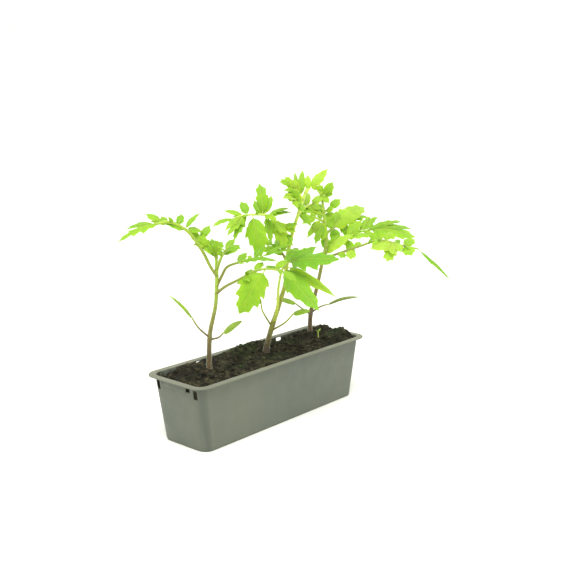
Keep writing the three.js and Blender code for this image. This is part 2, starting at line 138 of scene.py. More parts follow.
class Course:
    """A centripetal Catmull-Rom curve that is read by its length, as the part's own curves are."""

    DIVISIONS = 200
    NUDGE = 1e-3
    SCAN = 401

    def __init__(self, points: Sequence[Sequence[float]]) -> None:
        """Lays the curve.

        Args:
            points: The points that it runs through.
        """
        inner = np.array(points, float)
        first, last = 2 * inner[0] - inner[1], 2 * inner[-1] - inner[-2]
        self.points = np.vstack((first, inner, last))
        self.spans = len(inner) - 1
        line = self.raw(np.linspace(0.0, 1.0, self.DIVISIONS + 1))
        steps = np.linalg.norm(np.diff(line, axis=0), axis=1)
        self.reached = np.concatenate(([0.0], np.cumsum(steps)))

    @property
    def length(self) -> float:
        """The curve's length."""
        return float(self.reached[-1])

    def raw(self, share: Array) -> Array:
        """Reads the curve by its own parameter.

        Args:
            share: Places between 0 and 1, as a share of the spans.

        Returns:
            One point for each place.
        """
        run = np.clip(share, 0.0, 1.0) * self.spans
        span = np.minimum(run.astype(int), self.spans - 1)
        t = (run - span)[:, None]
        p0, p1, p2, p3 = (self.points[span + k] for k in range(4))

        def knot(a: Array, b: Array) -> Array:
            """Returns the knot distance between two points."""
            return np.sqrt(np.maximum(np.linalg.norm(b - a, axis=1, keepdims=True), 1e-9))

        d0, d1, d2 = knot(p0, p1), knot(p1, p2), knot(p2, p3)
        m1 = ((p1 - p0) / d0 - (p2 - p0) / (d0 + d1) + (p2 - p1) / d1) * d1
        m2 = ((p2 - p1) / d1 - (p3 - p1) / (d1 + d2) + (p3 - p2) / d2) * d1
        return (
            p1 + m1 * t
            + (3 * (p2 - p1) - 2 * m1 - m2) * t**2
            + (2 * (p1 - p2) + m1 + m2) * t**3
        )

    def at(self, places: Array | float) -> Array:
        """Reads the curve by its length.

        Args:
            places: Places between 0 and 1, as a share of the length.

        Returns:
            One point for each place.
        """
        wanted = np.atleast_1d(np.asarray(places, float)) * self.length
        share = np.interp(wanted, self.reached, np.linspace(0.0, 1.0, self.DIVISIONS + 1))
        return self.raw(share)

    def along(self, places: Array | float) -> Array:
        """Gives the curve's way at places along its length.

        Args:
            places: Places between 0 and 1, as a share of the length.

        Returns:
            One unit vector for each place.
        """
        places = np.atleast_1d(np.asarray(places, float))
        ahead = np.clip(places + self.NUDGE, 0.0, 1.0)
        behind = np.clip(places - self.NUDGE, 0.0, 1.0)
        return unit(self.at(ahead) - self.at(behind))

    def place_at_height(self, z: float) -> float:
        """Gives the first place, as a share of the length, where the curve is as high as z.

        Args:
            z: The height.

        Returns:
            The place, as a share of the length.
        """
        places = np.linspace(0.0, 1.0, self.SCAN)
        heights = self.at(places)[:, 2]
        return float(places[np.argmax(heights >= z)])


def grid_faces(rows: int, columns: int, closed: bool = False) -> Faces:
    """Joins a grid of points by quads.

    Args:
        rows: Rows of points.
        columns: Points in a row.
        closed: True if each row is a ring.

    Returns:
        The quads, which look outwards where rings run anticlockwise and rows go up.
    """
    across = columns if closed else columns - 1
    faces = []
    for row in range(rows - 1):
        for i in range(across):
            a = row * columns + i
            b = row * columns + (i + 1) % columns
            faces.append((a, b, b + columns, a + columns))
    return faces


def grid_rim(rows: int, columns: int) -> list[int]:
    """Walks round the edge of a grid of points.

    Args:
        rows: Rows of points.
        columns: Points in a row.

    Returns:
        The edge's point numbers, in order.
    """
    rim = [*range(columns)]
    rim += [row * columns + columns - 1 for row in range(1, rows)]
    rim += [(rows - 1) * columns + i for i in range(columns - 2, -1, -1)]
    return rim + [row * columns for row in range(rows - 2, 0, -1)]


def caps(size: int, rows: int) -> Faces:
    """Returns the faces that close the first and the last ring of a grid of rings."""
    last = (rows - 1) * size
    return [tuple(range(size))[::-1], tuple(range(last, last + size))]


def turned(faces: Faces) -> Faces:
    """Returns the faces, looking the other way."""
    return [face[::-1] for face in faces]


def placed(name: str, data: bpy.types.ID) -> Object:
    """Gives a new object with its data, linked to the scene.

    Args:
        name: The object's name.
        data: Its data.

    Returns:
        The object.
    """
    thing = bpy.data.objects.new(name, data)
    bpy.context.scene.collection.objects.link(thing)
    return thing


def standing(right: Sequence[float], up: Sequence[float], back: Sequence[float],
             place: Sequence[float]) -> Matrix:
    """Returns the matrix of an object that stands at a place with these axes."""
    rows = [(*axes, spot) for *axes, spot in zip(right, up, back, place)]
    return Matrix((*rows, (0, 0, 0, 1)))


class Draft:
    """The points, faces and point values of one piece, in millimetres, before it becomes a mesh."""

    CHANNELS = ("age", "tone", "under", "phase", "across", "offset")

    def __init__(self) -> None:
        """Starts an empty piece."""
        self.points: list[Array] = []
        self.faces: Faces = []
        self.finishes: list[int] = []
        self.values: dict[str, list[Array]] = {name: [] for name in self.CHANNELS}
        self.count = 0

    def add(self, points: Array, faces: Faces, finish: int = 0, **values: Array | float) -> None:
        """Adds a block of points and faces.

        Args:
            points: The block's points.
            faces: Its faces, numbered from its own first point.
            finish: Which of the piece's finishes it takes.
            **values: Point values by channel. A channel that isn't given is 0.
        """
        points = np.asarray(points, float).reshape(-1, 3)
        block = [tuple(int(i) + self.count for i in face) for face in faces]
        self.faces.extend(block)
        self.finishes.extend([finish] * len(block))
        for name in self.CHANNELS:
            given = np.asarray(values.get(name, 0.0), float).reshape(-1)
            self.values[name].append(np.broadcast_to(given, (len(points),)))
        self.points.append(points)
        self.count += len(points)

    def piece(self, name: str, finishes: Sequence[Material], slot: Slot, node: str) -> Object:
        """Makes the mesh and hangs it in the frame.

        Args:
            name: The piece's name.
            finishes: Its materials, in the order of the faces' finish numbers.
            slot: The material slot that its main finish belongs to; not used.
            node: The CAD node that it stands for.

        Returns:
            The new object.
        """
        mesh = bpy.data.meshes.new(name)
        mesh.from_pydata(np.concatenate(self.points) * MM, [], self.faces)
        for channel, blocks in self.values.items():
            data = np.concatenate(blocks).astype(np.float32)
            if data.any():
                mesh.attributes.new(channel, "FLOAT", "POINT").data.foreach_set("value", data)
        for finish in finishes:
            mesh.materials.append(finish)
        mesh.polygons.foreach_set("material_index", self.finishes)
        mesh.polygons.foreach_set("use_smooth", [True] * len(self.faces))
        mesh.update()
        piece = placed(name, mesh)
        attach(piece, BODY)
        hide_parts(node)
        LOG.info("%s: %d points, %d faces, for %s", name, self.count, len(self.faces), node)
        return piece


# ---------------------------------------------------------------- finishes


def srgb(red: int, green: int, blue: int) -> Colour:
    """Turns a display colour into the linear colour that shaders take.

    Args:
        red: Red, 0 to 255.
        green: Green, 0 to 255.
        blue: Blue, 0 to 255.

    Returns:
        The linear colour.
    """

    def linear(value: int) -> float:
        """Returns one channel, linear."""
        share = value / 255.0
        return share / 12.92 if share <= 0.04045 else ((share + 0.055) / 1.055) ** 2.4

    return linear(red), linear(green), linear(blue)


class Graph:
    """One material's node tree, built by short calls."""

    def __init__(self, name: str) -> None:
        """Starts a material with a Principled surface.

        Args:
            name: The material's name.
        """
        self.material = bpy.data.materials.new(name)
        self.material.use_nodes = True
        self.tree = self.material.node_tree
        self.surface = self.tree.nodes["Principled BSDF"]
        self.place = self.node("ShaderNodeTexCoord").outputs["Object"]

    def node(self, kind: str, inputs: dict | None = None, **properties: object) -> bpy.types.Node:
        """Adds a node.

        Args:
            kind: Blender's name for the kind of node.
            inputs: Values or sockets by input name or number.
            **properties: The node's own settings.

        Returns:
            The node.
        """
        node = self.tree.nodes.new(kind)
        for name, value in properties.items():
            setattr(node, name, value)
        for key, value in (inputs or {}).items():
            self.set(node, key, value)
        return node

    def set(self, node: bpy.types.Node, key: str | int, value: object) -> None:
        """Links a socket to an input, or sets the input's own number or colour.

        Args:
            node: The node.
            key: The input's name or number.
            value: A socket, a number or a colour.
        """
        if isinstance(value, Socket):
            self.tree.links.new(value, node.inputs[key])
        elif isinstance(value, tuple) and len(value) == 3 and node.inputs[key].type == "RGBA":
            node.inputs[key].default_value = (*value, 1.0)
        else:
            node.inputs[key].default_value = value

    def shine(self, **values: object) -> None:
        """Sets the surface's sockets, by name with _ for a space."""
        for name, value in values.items():
            self.set(self.surface, name.replace("_", " "), value)

    def value(self, name: str) -> Socket:
        """Returns a point value of the mesh."""
        return self.node("ShaderNodeAttribute", attribute_name=name).outputs["Fac"]

    def maths(self, operation: str, *values: object) -> Socket:
        """Returns the result of one sum."""
        node = self.node("ShaderNodeMath", dict(enumerate(values)), operation=operation)
        return node.outputs[0]

    def times(self, first: object, second: object) -> Socket:
        """Returns the product of two numbers."""
        return self.maths("MULTIPLY", first, second)

    def stretched(self, x: float, y: float, z: float) -> Socket:
        """Returns the place on the object, stretched along its axes."""
        inputs = {0: self.place, 1: (x, y, z)}
        return self.node("ShaderNodeVectorMath", inputs, operation="MULTIPLY").outputs[0]

    def noise(
        self, scale: float, detail: float = 4.0, rough: float = 0.55, vector: Socket | None = None,
    ) -> Socket:
        """Gives fractal noise.

        Args:
            scale: Features per metre.
            detail: Octaves.
            rough: How strong the finer octaves are.
            vector: The coordinates, or None for the place on the object.

        Returns:
            The noise, about 0 to 1.
        """
        inputs = {"Vector": vector or self.place, "Scale": scale, "Detail": detail, "Roughness": rough}
        return self.node("ShaderNodeTexNoise", inputs).outputs[0]

    def cells(self, scale: float, feature: str = "F1") -> Socket:
        """Returns the distance pattern of random cells, with scale cells in a metre."""
        inputs = {"Vector": self.place, "Scale": scale}
        return self.node("ShaderNodeTexVoronoi", inputs, feature=feature).outputs["Distance"]

    def span(
        self, value: object, low: float, high: float, to_low: float = 0.0, to_high: float = 1.0,
    ) -> Socket:
        """Maps a range of numbers to another, eased and held at its ends.

        Args:
            value: The number.
            low: The range's low end.
            high: Its high end.
            to_low: What the low end becomes.
            to_high: What the high end becomes.

        Returns:
            The mapped number.
        """
        inputs = {0: value, 1: low, 2: high, 3: to_low, 4: to_high}
        node = self.node("ShaderNodeMapRange", inputs, interpolation_type="SMOOTHSTEP", clamp=True)
        return node.outputs[0]

    def ramp(self, value: object, stops: Sequence[tuple[float, Colour]]) -> Socket:
        """Turns a number into a colour.

        Args:
            value: The number.
            stops: Places from 0 to 1 with their colours.

        Returns:
            The colour.
        """
        node = self.node("ShaderNodeValToRGB", {0: value})
        band = node.color_ramp
        while len(band.elements) < len(stops):
            band.elements.new(0.5)
        for element, (place, colour) in zip(band.elements, stops):
            element.position = place
            element.color = (*colour, 1.0)
        return node.outputs[0]

    def mix(self, share: object, first: object, second: object) -> Socket:
        """Mixes two colours.

        Args:
            share: How much of the second colour shows.
            first: The first colour.
            second: The second colour.

        Returns:
            The mixed colour.
        """
        node = self.node("ShaderNodeMix", data_type="RGBA")
        for number, value in ((0, share), (6, first), (7, second)):
            self.set(node, number, value)
        return node.outputs[2]

    def bump(self, height: object, depth: float, under: object = None) -> Socket:
        """Gives a surface relief.

        Args:
            height: The relief, about 0 to 1.
            depth: How deep it is, in metres.
            under: A relief that this one lies on.

        Returns:
            The normal.
        """
        inputs = {"Height": height, "Distance": depth, "Strength": 1.0}
        if under is not None:
            inputs["Normal"] = under
        return self.node("ShaderNodeBump", inputs).outputs[0]


@dataclass(frozen=True)
class Finish:
    """A finish that paints its own material."""

    name: str

    def paint(self, g: Graph) -> None:
        """Sets the surface; each finish has its own way."""
        raise NotImplementedError

    def make(self) -> Material:
        """Gives the material.

        Returns:
            The material, painted.
        """
        g = Graph(self.name)
        self.paint(g)
        return g.material


@dataclass(frozen=True)
class TroughPlastic(Finish):
    """Grey-green moulded plastic with a fine matt grain, flow streaks, scuffs and peat dust, and painted
    light: faint vertical highlight streaks, a highlight on the lip's top, shade on the rounded corners and
    end walls, and a shadow line under the grips.
    """

    name: str = "trough_plastic"
    colour: Colour = srgb(97, 102, 88)
    cool: Colour = srgb(91, 98, 87)
    # Colour of real scuffs and scratches, also of the painted vertical highlight streaks.
    scuff_and_highlight: Colour = srgb(118, 124, 113)
    # Colour of the painted highlight on the lip's top.
    rim: Colour = srgb(134, 132, 108)
    # Colour of the painted shade on the rounded corners and end walls.
    corner: Colour = srgb(70, 77, 70)
    # Colour of real peat dust, also used for a painted shadow line under the grips.
    dust_and_shadow: Colour = srgb(48, 42, 32)

    def paint(self, g: Graph) -> None:
        """Sets the surface's colour, shine and relief.

        Args:
            g: The material's node tree.
        """
        flow = g.noise(9.0, 3.0, 0.5, g.stretched(1.0, 1.0, 0.25))
        streak = g.noise(260.0, 2.0, 0.6, g.stretched(1.0, 1.0, 0.04))
        colour = g.mix(g.span(flow, 0.35, 0.65), self.colour, self.cool)
        # Painted highlights: faint lighter vertical streaks.
        colour = g.mix(g.span(streak, 0.52, 0.75, 0.0, 0.08), colour, self.scuff_and_highlight)
        scratch = g.span(g.noise(900.0, 1.0, 0.5, g.stretched(0.05, 0.05, 1.0)), 0.68, 0.74)
        worn = g.times(scratch, g.span(g.noise(40.0), 0.55, 0.7, 0.0, 0.5))
        colour = g.mix(worn, colour, self.scuff_and_highlight)
        # Painted highlight: the lip's top is lightened.
        colour = g.mix(g.times(g.value("phase"), g.span(flow, 0.3, 0.7, 0.25, 0.6)), colour, self.rim)
        # Painted shade: the rounded corners and, more lightly, the end walls are darkened.
        colour = g.mix(g.times(g.value("tone"), 0.6), colour, self.corner)
        # Peat dust on the inner walls and dark specks, and on the grips' lower edges a painted shadow line
        # in the same colour.
        dust_and_shadow_mask = g.times(g.value("age"), g.span(g.noise(160.0, 6.0, 0.7), 0.35, 0.62))
        specks = g.span(g.noise(700.0, 2.0), 0.70, 0.76, 0.0, 0.35)
        colour = g.mix(g.maths("MAXIMUM", dust_and_shadow_mask, g.times(specks, 0.35)), colour, self.dust_and_shadow)
        grain = g.noise(3200.0, 2.0, 0.6)
        normal = g.bump(grain, 0.00006)
        normal = g.bump(flow, 0.0006, normal)
        normal = g.bump(worn, -0.00005, normal)
        rough = g.maths("ADD", g.span(g.noise(70.0), 0.3, 0.7, 0.42, 0.58), g.times(dust_and_shadow_mask, 0.3))
        g.shine(Base_Color=colour, Roughness=rough, Normal=normal, Specular_IOR_Level=0.45)


@dataclass(frozen=True)
class PeatCrumb(Finish):
    """Damp dark peat with browner crumbs, fine grain and a green film in places."""

    name: str = "peat"
    dark: Colour = srgb(24, 24, 15)
    brown: Colour = srgb(74, 70, 48)
    light: Colour = srgb(98, 90, 64)
    film: Colour = srgb(56, 70, 38)

    def paint(self, g: Graph) -> None:
        """Sets the surface's colour, shine and relief.

        Args:
            g: The material's node tree.
        """
        coarse = g.noise(120.0, 5.0, 0.65)
        damp = g.span(g.noise(26.0, 3.0), 0.42, 0.6, 0.2, 1.0)
        colour = g.mix(g.times(damp, g.span(coarse, 0.42, 0.66)), self.dark, self.brown)
        colour = g.mix(g.span(g.noise(900.0, 3.0, 0.7), 0.6, 0.74, 0.0, 0.4), colour, self.light)
        colour = g.mix(g.times(g.value("tone"), 0.45), colour, self.light)
        colour = g.mix(g.times(g.value("under"), g.span(g.noise(300.0), 0.4, 0.6)), colour, self.film)
        normal = g.bump(g.noise(1500.0, 4.0, 0.7), 0.0006)
        rough = g.span(coarse, 0.3, 0.7, 0.98, 0.82)
        g.shine(Base_Color=colour, Roughness=rough, Normal=normal, Specular_IOR_Level=0.25)


@dataclass(frozen=True)
class PeatFibre(Finish):
    """Pale stalk and bark fibres in the peat."""

    name: str = "peat_fibre"

    def paint(self, g: Graph) -> None:
        """Sets the surface's colour, shine and relief.

        Args:
            g: The material's node tree.
        """
        grain = g.noise(1400.0, 3.0, 0.6)
        stops = ((0.3, srgb(52, 44, 28)), (0.5, srgb(84, 72, 46)), (0.72, srgb(126, 112, 78)))
        g.shine(Base_Color=g.ramp(grain, stops), Roughness=0.85, Normal=g.bump(grain, 0.0004))


@dataclass(frozen=True)
class LeafBlade(Finish):
    """A living leaf: a lit, thin, green blade with paler veins, a fine net and a paler underside, and
    painted shade or paleness on each leaflet for how the light falls on it.
    """

    young: Colour
    grown: Colour
    dark: Colour
    vein: Colour
    back: Colour
    net: float = 1.0

    def paint(self, g: Graph) -> None:
        """Sets the surface's colour, shine and relief.

        Args:
            g: The material's node tree.
        """
        phase, across, offset = g.value("phase"), g.value("across"), g.value("offset")
        colour = g.mix(g.value("age"), self.young, self.grown)
        patch = g.span(g.noise(60.0, 4.0, 0.6), 0.38, 0.66)
        tone = g.value("tone")
        colour = g.mix(g.times(patch, 0.4), colour, self.dark)
        # Painted shade over a random tone of the leaf's own: a high tone darkens the leaflet, more on
        # older leaves, and a low tone paints it paler.
        deep = g.times(g.span(tone, 0.2, 1.0, 0.0, 0.95), g.span(g.value("age"), 0.0, 0.7, 0.6, 1.0))
        colour = g.mix(deep, colour, self.dark)
        colour = g.mix(g.span(tone, 0.0, 0.3, 0.9, 0.0), colour, self.back)
        between = g.maths("PINGPONG", phase, 0.5)
        side = g.maths("ABSOLUTE", across)
        rib = g.span(g.maths("ABSOLUTE", offset), 0.25, 0.75, 0.9, 0.0)
        lateral = g.span(between, 0.012, 0.055, 0.55, 0.0)
        lateral = g.times(lateral, g.span(side, 0.75, 1.0, 1.0, 0.0))
        vein = g.maths("MAXIMUM", rib, lateral)
        edge = g.cells(700.0, "DISTANCE_TO_EDGE")
        net = g.times(g.span(edge, 0.0, 0.12, 1.0, 0.0), 0.35 * self.net)
        colour = g.mix(g.times(g.maths("MAXIMUM", vein, net), 0.6), colour, self.vein)
        colour = g.mix(g.times(g.value("under"), 0.55), colour, self.back)
        rim = g.span(side, 0.965, 1.0, 0.0, 0.35)
        colour = g.mix(rim, colour, self.back)
        normal = g.bump(g.maths("MAXIMUM", vein, net), -0.00022)
        normal = g.bump(g.noise(2600.0, 3.0, 0.6), 0.00008, normal)
        normal = g.bump(g.noise(350.0, 3.0), 0.0004, normal)
        rough = g.span(g.noise(500.0), 0.3, 0.7, 0.42, 0.62)
        g.shine(
            Base_Color=colour, Roughness=rough, Normal=normal, Specular_IOR_Level=0.4,
            Subsurface_Weight=0.5, Subsurface_Scale=MM, Sheen_Weight=0.05, Sheen_Roughness=0.5,
        )
        g.surface.inputs["Subsurface Radius"].default_value = (1.1, 1.6, 0.4)


@dataclass(frozen=True)
class StemSkin(Finish):
    """A hairy young stem, brown-purple where it leaves the peat and yellow-green at the tip."""

    stops: tuple[tuple[float, Colour], ...]

    def paint(self, g: Graph) -> None:
        """Sets the surface's colour, shine and relief.

        Args:
            g: The material's node tree.
        """
        streak = g.noise(700.0, 4.0, 0.6, g.stretched(1.0, 1.0, 0.12))
        drift = g.times(g.maths("SUBTRACT", g.noise(60.0, 3.0), 0.5), 0.3)
        colour = g.ramp(g.maths("ADD", g.value("age"), drift), self.stops)
        shade = g.mix(0.5, colour, (0.05, 0.03, 0.015))
        colour = g.mix(g.span(streak, 0.5, 0.72, 0.0, 0.6), colour, shade)
        pale = g.span(g.cells(1500.0), 0.1, 0.28, 0.35, 0.0)
        colour = g.mix(pale, colour, srgb(205, 205, 150))
        normal = g.bump(streak, 0.0005)
        normal = g.bump(g.cells(1500.0), 0.00025, normal)
        g.shine(
            Base_Color=colour, Roughness=g.span(streak, 0.3, 0.7, 0.45, 0.6), Normal=normal,
            Subsurface_Weight=0.25, Subsurface_Scale=MM, Sheen_Weight=0.25, Sheen_Roughness=0.4,
        )
        g.surface.inputs["Subsurface Radius"].default_value = (1.2, 1.2, 0.5)


@dataclass(frozen=True)
class Hair(Finish):
    """The fine pale hairs of stems and ribs."""

    name: str = "hair"

    def paint(self, g: Graph) -> None:
        """Sets the surface's colour and shine.

        Args:
            g: The material's node tree.
        """
        stops = ((0.3, srgb(220, 210, 168)), (0.7, srgb(244, 236, 200)))
        colour = g.ramp(g.noise(900.0), stops)
        g.shine(Base_Color=colour, Roughness=0.35, Subsurface_Weight=0.5, Subsurface_Scale=MM)


@dataclass(frozen=True)
class PaleFloor(Finish):
    """A plain pale floor with the faintest unevenness."""

    name: str = "pale_floor"

    def paint(self, g: Graph) -> None:
        """Sets the surface's colour and shine."""
        stops = ((0.35, (0.90, 0.90, 0.86)), (0.65, (0.93, 0.93, 0.89)))
        g.shine(Base_Color=g.ramp(g.noise(4.0, 2.0), stops), Roughness=0.9, Specular_IOR_Level=0.1)


# ---------------------------------------------------------------- trough


@dataclass
class Trough:
    """The moulded trough: tapered walls, an out-turned lip, end grips, slots and two far holes.

    A ring of the foot or the rim is a height and an inset. A ring of the lip is a height and a share
    of the way from the wall to the lip's edge. Heights of the lip and the rim start at its own faces.
    """

    length: float = 300.0
    width: float = 95.0
    height: float = 78.5
    lip: float = 7.4
    lip_thickness: float = 1.3
    wall: float = 1.4
    floor: float = 1.6
    end_taper: float = 9.8
    side_taper: float = 4.3
    corner_radius: float = 18.0
    foot_radius: float = 12.0
    corner_steps: int = 12
    slot_heights: Pair = (62.4, 73.0)
    hole_sides: Pair = (65.5, 75.5)
    hole_heights: Pair = (70.4, 77.2)
    grip_width: float = 37.0
    grip_depth: float = 9.8
    grip_corner: float = 1.2
    grip_inset: float = 5.4
    window_sides: Pair = (14.0, 22.0)
    window_low: float = 68.9
    grip_gap: float = 0.15
    grip_lift: float = 0.05
    grip_front: float = 0.1
    grip_edges: tuple[Pair, ...] = ((0.0, 0.7), (0.45, 0.0), (0.8, 0.0), (1.1, 0.35))
    grip_corner_steps: int = 7
    foot_rings: tuple[Pair, ...] = (
        (0.0, 2.0), (0.12, 1.1), (0.5, 0.4), (1.2, 0.05), (4.0, 0.0), (24.0, 0.0), (46.0, 0.0),
    )
    lip_under: tuple[Pair, ...] = (
        (-0.05, 0.12), (0.0, 0.3), (-0.1, 0.9), (-0.05, 0.975), (0.3, 1.0), (0.75, 1.0),
    )
    lip_top: tuple[Pair, ...] = ((-0.16, 0.975), (0.0, 0.93), (-0.02, 0.5), (0.0, 0.12))
    rim_rings: tuple[Pair, ...] = ((0.0, 0.45), (-0.25, 1.0))
    inner_foot: tuple[Pair, ...] = ((40.0, wall), (6.0, wall), (2.2, 1.9))
    # Painted shade on the outer wall: its arc over each rounded corner, and its share over the end walls
    # and at their edges.
    corner_arc: Pair = (-0.2, 0.5)
    end_wall_shade: float = 0.15
    end_edge_shade: float = 0.6
    moulded_edge: float = 0.22
    moulded_angle: float = 50.0
    end_stations: tuple[float, ...] = (-32.5, -27, -22, -14, -5, 5, 14, 22, 27, 32.5)
    side_stations: tuple[float, ...] = (-100, -75.5, -65.5, -40, -20, 0, 20, 40, 65.5, 75.5, 100)

    def outline(self, half_length: float, half_width: float, radius: float, z: float) -> Array:
        """Gives a rounded ring with a point at each fixed station.

        Args:
            half_length: Half the ring's length.
            half_width: Half its width.
            radius: Its corner radius.
            z: Its height.

        Returns:
            The ring's points, anticlockwise from the +X end.
        """
        ends = np.array(self.end_stations)
        sides = np.array(self.side_stations)
        beyond = np.maximum(np.abs(ends) - (half_width - radius), 0.0)
        reach = half_length - radius + np.sqrt(radius**2 - beyond**2)
        start = math.asin((ends[-1] - (half_width - radius)) / radius)
        turns = np.linspace(start, math.pi / 2, self.corner_steps + 1)[1:]
        arc_x = half_length - radius + radius * np.cos(turns)
        arc_y = half_width - radius + radius * np.sin(turns)
        quarter = np.column_stack((arc_x, arc_y))
        parts = (
            np.column_stack((reach, ends)),
            quarter,
            np.column_stack((sides[::-1], np.full(len(sides), half_width))),
            quarter[::-1] * (-1, 1),
            np.column_stack((-reach, ends[::-1])),
            quarter * (-1, -1),
            np.column_stack((sides, np.full(len(sides), -half_width))),
            quarter[::-1] * (1, -1),
        )
        flat = np.vstack(parts)
        return np.column_stack((flat, np.full(len(flat), z)))

    def wall_sizes(self, z: float, inset: float) -> Triple:
        """Gives the wall's sizes at a height.

        Args:
            z: The height.
            inset: How far inside the outer face they are taken.

        Returns:
            Half the length, half the width and the corner radius.
        """
        rise = z / self.height
        half_length = self.length / 2 - self.lip - self.end_taper * (1 - rise) - inset
        half_width = self.width / 2 - self.lip - self.side_taper * (1 - rise) - inset
        radius = self.foot_radius + (self.corner_radius - self.lip - self.foot_radius) * rise
        return half_length, half_width, radius - inset

    def wall_ring(self, z: float, inset: float) -> Array:
        """Returns the wall's ring at a height, by how far it lies inside the outer face."""
        return self.outline(*self.wall_sizes(z, inset), z)

    def lip_ring(self, z: float, share: float) -> Array:
        """Gives a ring on the lip.

        Args:
            z: The height.
            share: 0 at the wall and 1 at the lip's edge.

        Returns:
            The ring's points.
        """
        edge = self.outline(self.length / 2, self.width / 2, self.corner_radius, z)
        wall = self.wall_ring(z, 0.0)
        return wall + (edge - wall) * share

    def shell(self) -> tuple[Array, Faces, dict[str, Array]]:
        """Builds the wall, floor and lip with its slots and holes left open.

        Returns:
            The points, the faces, and the marks for dust, for the painted highlight on the lip's top and
            for the painted shade on the corners and end walls.
        """
        under = self.height - self.lip_thickness
        (low, high), hole = self.slot_heights, self.hole_heights[0]
        levels = (low, self.window_low, hole, high, under)
        outer = [*self.foot_rings, *((z, 0.0) for z in levels)]
        lips = [(under + z, share) for z, share in self.lip_under]
        lips += [(self.height + z, share) for z, share in self.lip_top]
        inner = [(self.height + z, inset) for z, inset in self.rim_rings]
        inner += [*((z, self.wall) for z in levels[::-1]), *self.inner_foot]
        rings = [self.wall_ring(*ring) for ring in outer]
        rings += [self.lip_ring(*ring) for ring in lips]
        rings += [self.wall_ring(*ring) for ring in inner]
        count, first_inner = len(rings[0]), len(outer) + len(lips)
        outside = {z: row for row, (z, _) in enumerate(outer)}
        inside = {z: row + first_inner for row, (z, _) in enumerate(inner)}
        cells = self.open_cells()
        faces = []
        for quad in grid_faces(len(rings), count, closed=True):
            row, station = divmod(quad[0], count)
            z_pair = {round(rings[row][0, 2], 3), round(rings[row + 1][0, 2], 3)}
            is_wall = row < len(outer) - 1 or row >= first_inner
            if not (is_wall and any(station == s and z_pair <= zs for s, zs in cells)):
                faces.append(quad)
        faces += self.reveals(cells, outside, inside, count) + caps(count, len(rings))
        row = np.repeat(np.arange(len(rings)), count)
        lip_top = len(outer) + len(self.lip_under)
        marks = {
            "age": np.where(row > first_inner, 1.0, 0.0),
            # The phase mark carries the painted highlight on the lip's top.
            "phase": np.where((row >= lip_top) & (row <= first_inner), 1.0, 0.0),
            # The tone mark carries the painted shade of the corners and end walls.
            "tone": np.where(row < len(outer), np.tile(self.painted_corner_shade(), len(rings)), 0.0),
        }
        return np.vstack(rings), faces, marks

    def painted_corner_shade(self) -> Array:
        """Gives the painted shade on each of a ring's points, from 0 to 1: most in the rounded corners, a
        little over the end walls and more at their edges.

        Returns:
            The painted shade of each point.
        """
        first, last = self.corner_arc
        arc = np.cos(np.linspace(first * math.pi, last * math.pi, self.corner_steps))
        end, side = np.full(len(self.end_stations), self.end_wall_shade), np.zeros(len(self.side_stations))
        end[[0, -1]] = self.end_edge_shade
        return np.concatenate((end, arc, side, arc[::-1], end, arc, side, arc[::-1]))

    def open_cells(self) -> list[tuple[int, set[float]]]:
        """Lists the openings.

        Returns:
            For each opening, the station before it and the heights that its cells lie between.
        """
        ends, sides, steps = self.end_stations, self.side_stations, self.corner_steps
        (low, high), (hole_low, hole_high) = self.slot_heights, self.hole_heights
        slot_heights = {low, self.window_low, hole_low, high}
        hole_heights = {hole_low, high, hole_high}
        window_heights = {self.window_low, *hole_heights}
        near_end = len(ends) + steps + len(sides) + steps
        cells = []
        for start in (0, near_end):
            cells += [(start, slot_heights), (start + len(ends) - 2, slot_heights)]
            for edge in (-self.window_sides[1], self.window_sides[0]):
                cells.append((start + ends.index(edge), window_heights))
        far_side = len(ends) + steps
        for edge in (self.hole_sides[1], -self.hole_sides[0]):
            cells.append((far_side + sides[::-1].index(edge), hole_heights))
        return cells

    def reveals(
        self, cells: list[tuple[int, set[float]]], outside: dict[float, int], inside: dict[float, int],
        count: int,
    ) -> Faces:
        """Joins the outer and inner faces round each opening.

        Args:
            cells: The openings, from open_cells.
            outside: The outer face's row at each height.
            inside: The inner face's row at each height.
            count: Points in a ring.

        Returns:
            The faces.
        """
        faces = []
        for station, heights in cells:
            levels = sorted(heights)
            loop = [(station, z) for z in levels] + [(station + 1, z) for z in levels[::-1]]
            for (s0, z0), (s1, z1) in zip(loop, loop[1:] + loop[:1]):
                a, b = outside[z0] * count + s0, outside[z1] * count + s1
                c, d = inside[z1] * count + s1, inside[z0] * count + s0
                faces.append((d, c, b, a))
        return faces

    def grip(self, end: int) -> tuple[Array, Faces]:
        """Builds the flap that turns down under the lip at a short end.

        Args:
            end: 1 for the +X end and -1 for the other.

        Returns:
            The points and the faces.
        """
        half, top = self.grip_width / 2, self.height - self.grip_gap
        bottom = top - self.grip_depth + self.grip_lift
        turns = np.linspace(0.0, math.pi / 2, self.grip_corner_steps)
        corner_y = half - self.grip_corner + self.grip_corner * np.sin(turns)
        corner_z = bottom + self.grip_corner - self.grip_corner * np.cos(turns)
        right = np.column_stack((corner_y, corner_z))
        left = right[::-1] * (-1, 1)
        flat = np.vstack((left, right, [(half, top)], [(-half, top)]))
        edge = self.length / 2 - self.grip_inset
        middle = np.array((0.0, (top + bottom) / 2))
        layers = []
        for depth, shrink in self.grip_edges:
            ring = flat - np.sign(flat - middle) * shrink
            ring[:, 1] = np.minimum(ring[:, 1], top)
            layers.append(np.column_stack((np.full(len(ring), end * (edge - depth)), ring)))
        count = len(flat)
        faces = grid_faces(len(layers), count, closed=True) + caps(count, len(layers))
        if end > 0:
            faces = turned(faces)
        return np.vstack(layers), faces

    def build(self, finish: Material) -> Object:
        """Makes the piece.

        Args:
            finish: Its material.

        Returns:
            The trough's object.
        """
        draft = Draft()
        points, faces, marks = self.shell()
        draft.add(points, faces, **marks)
        for end in (-1, 1):
            points, faces = self.grip(end)
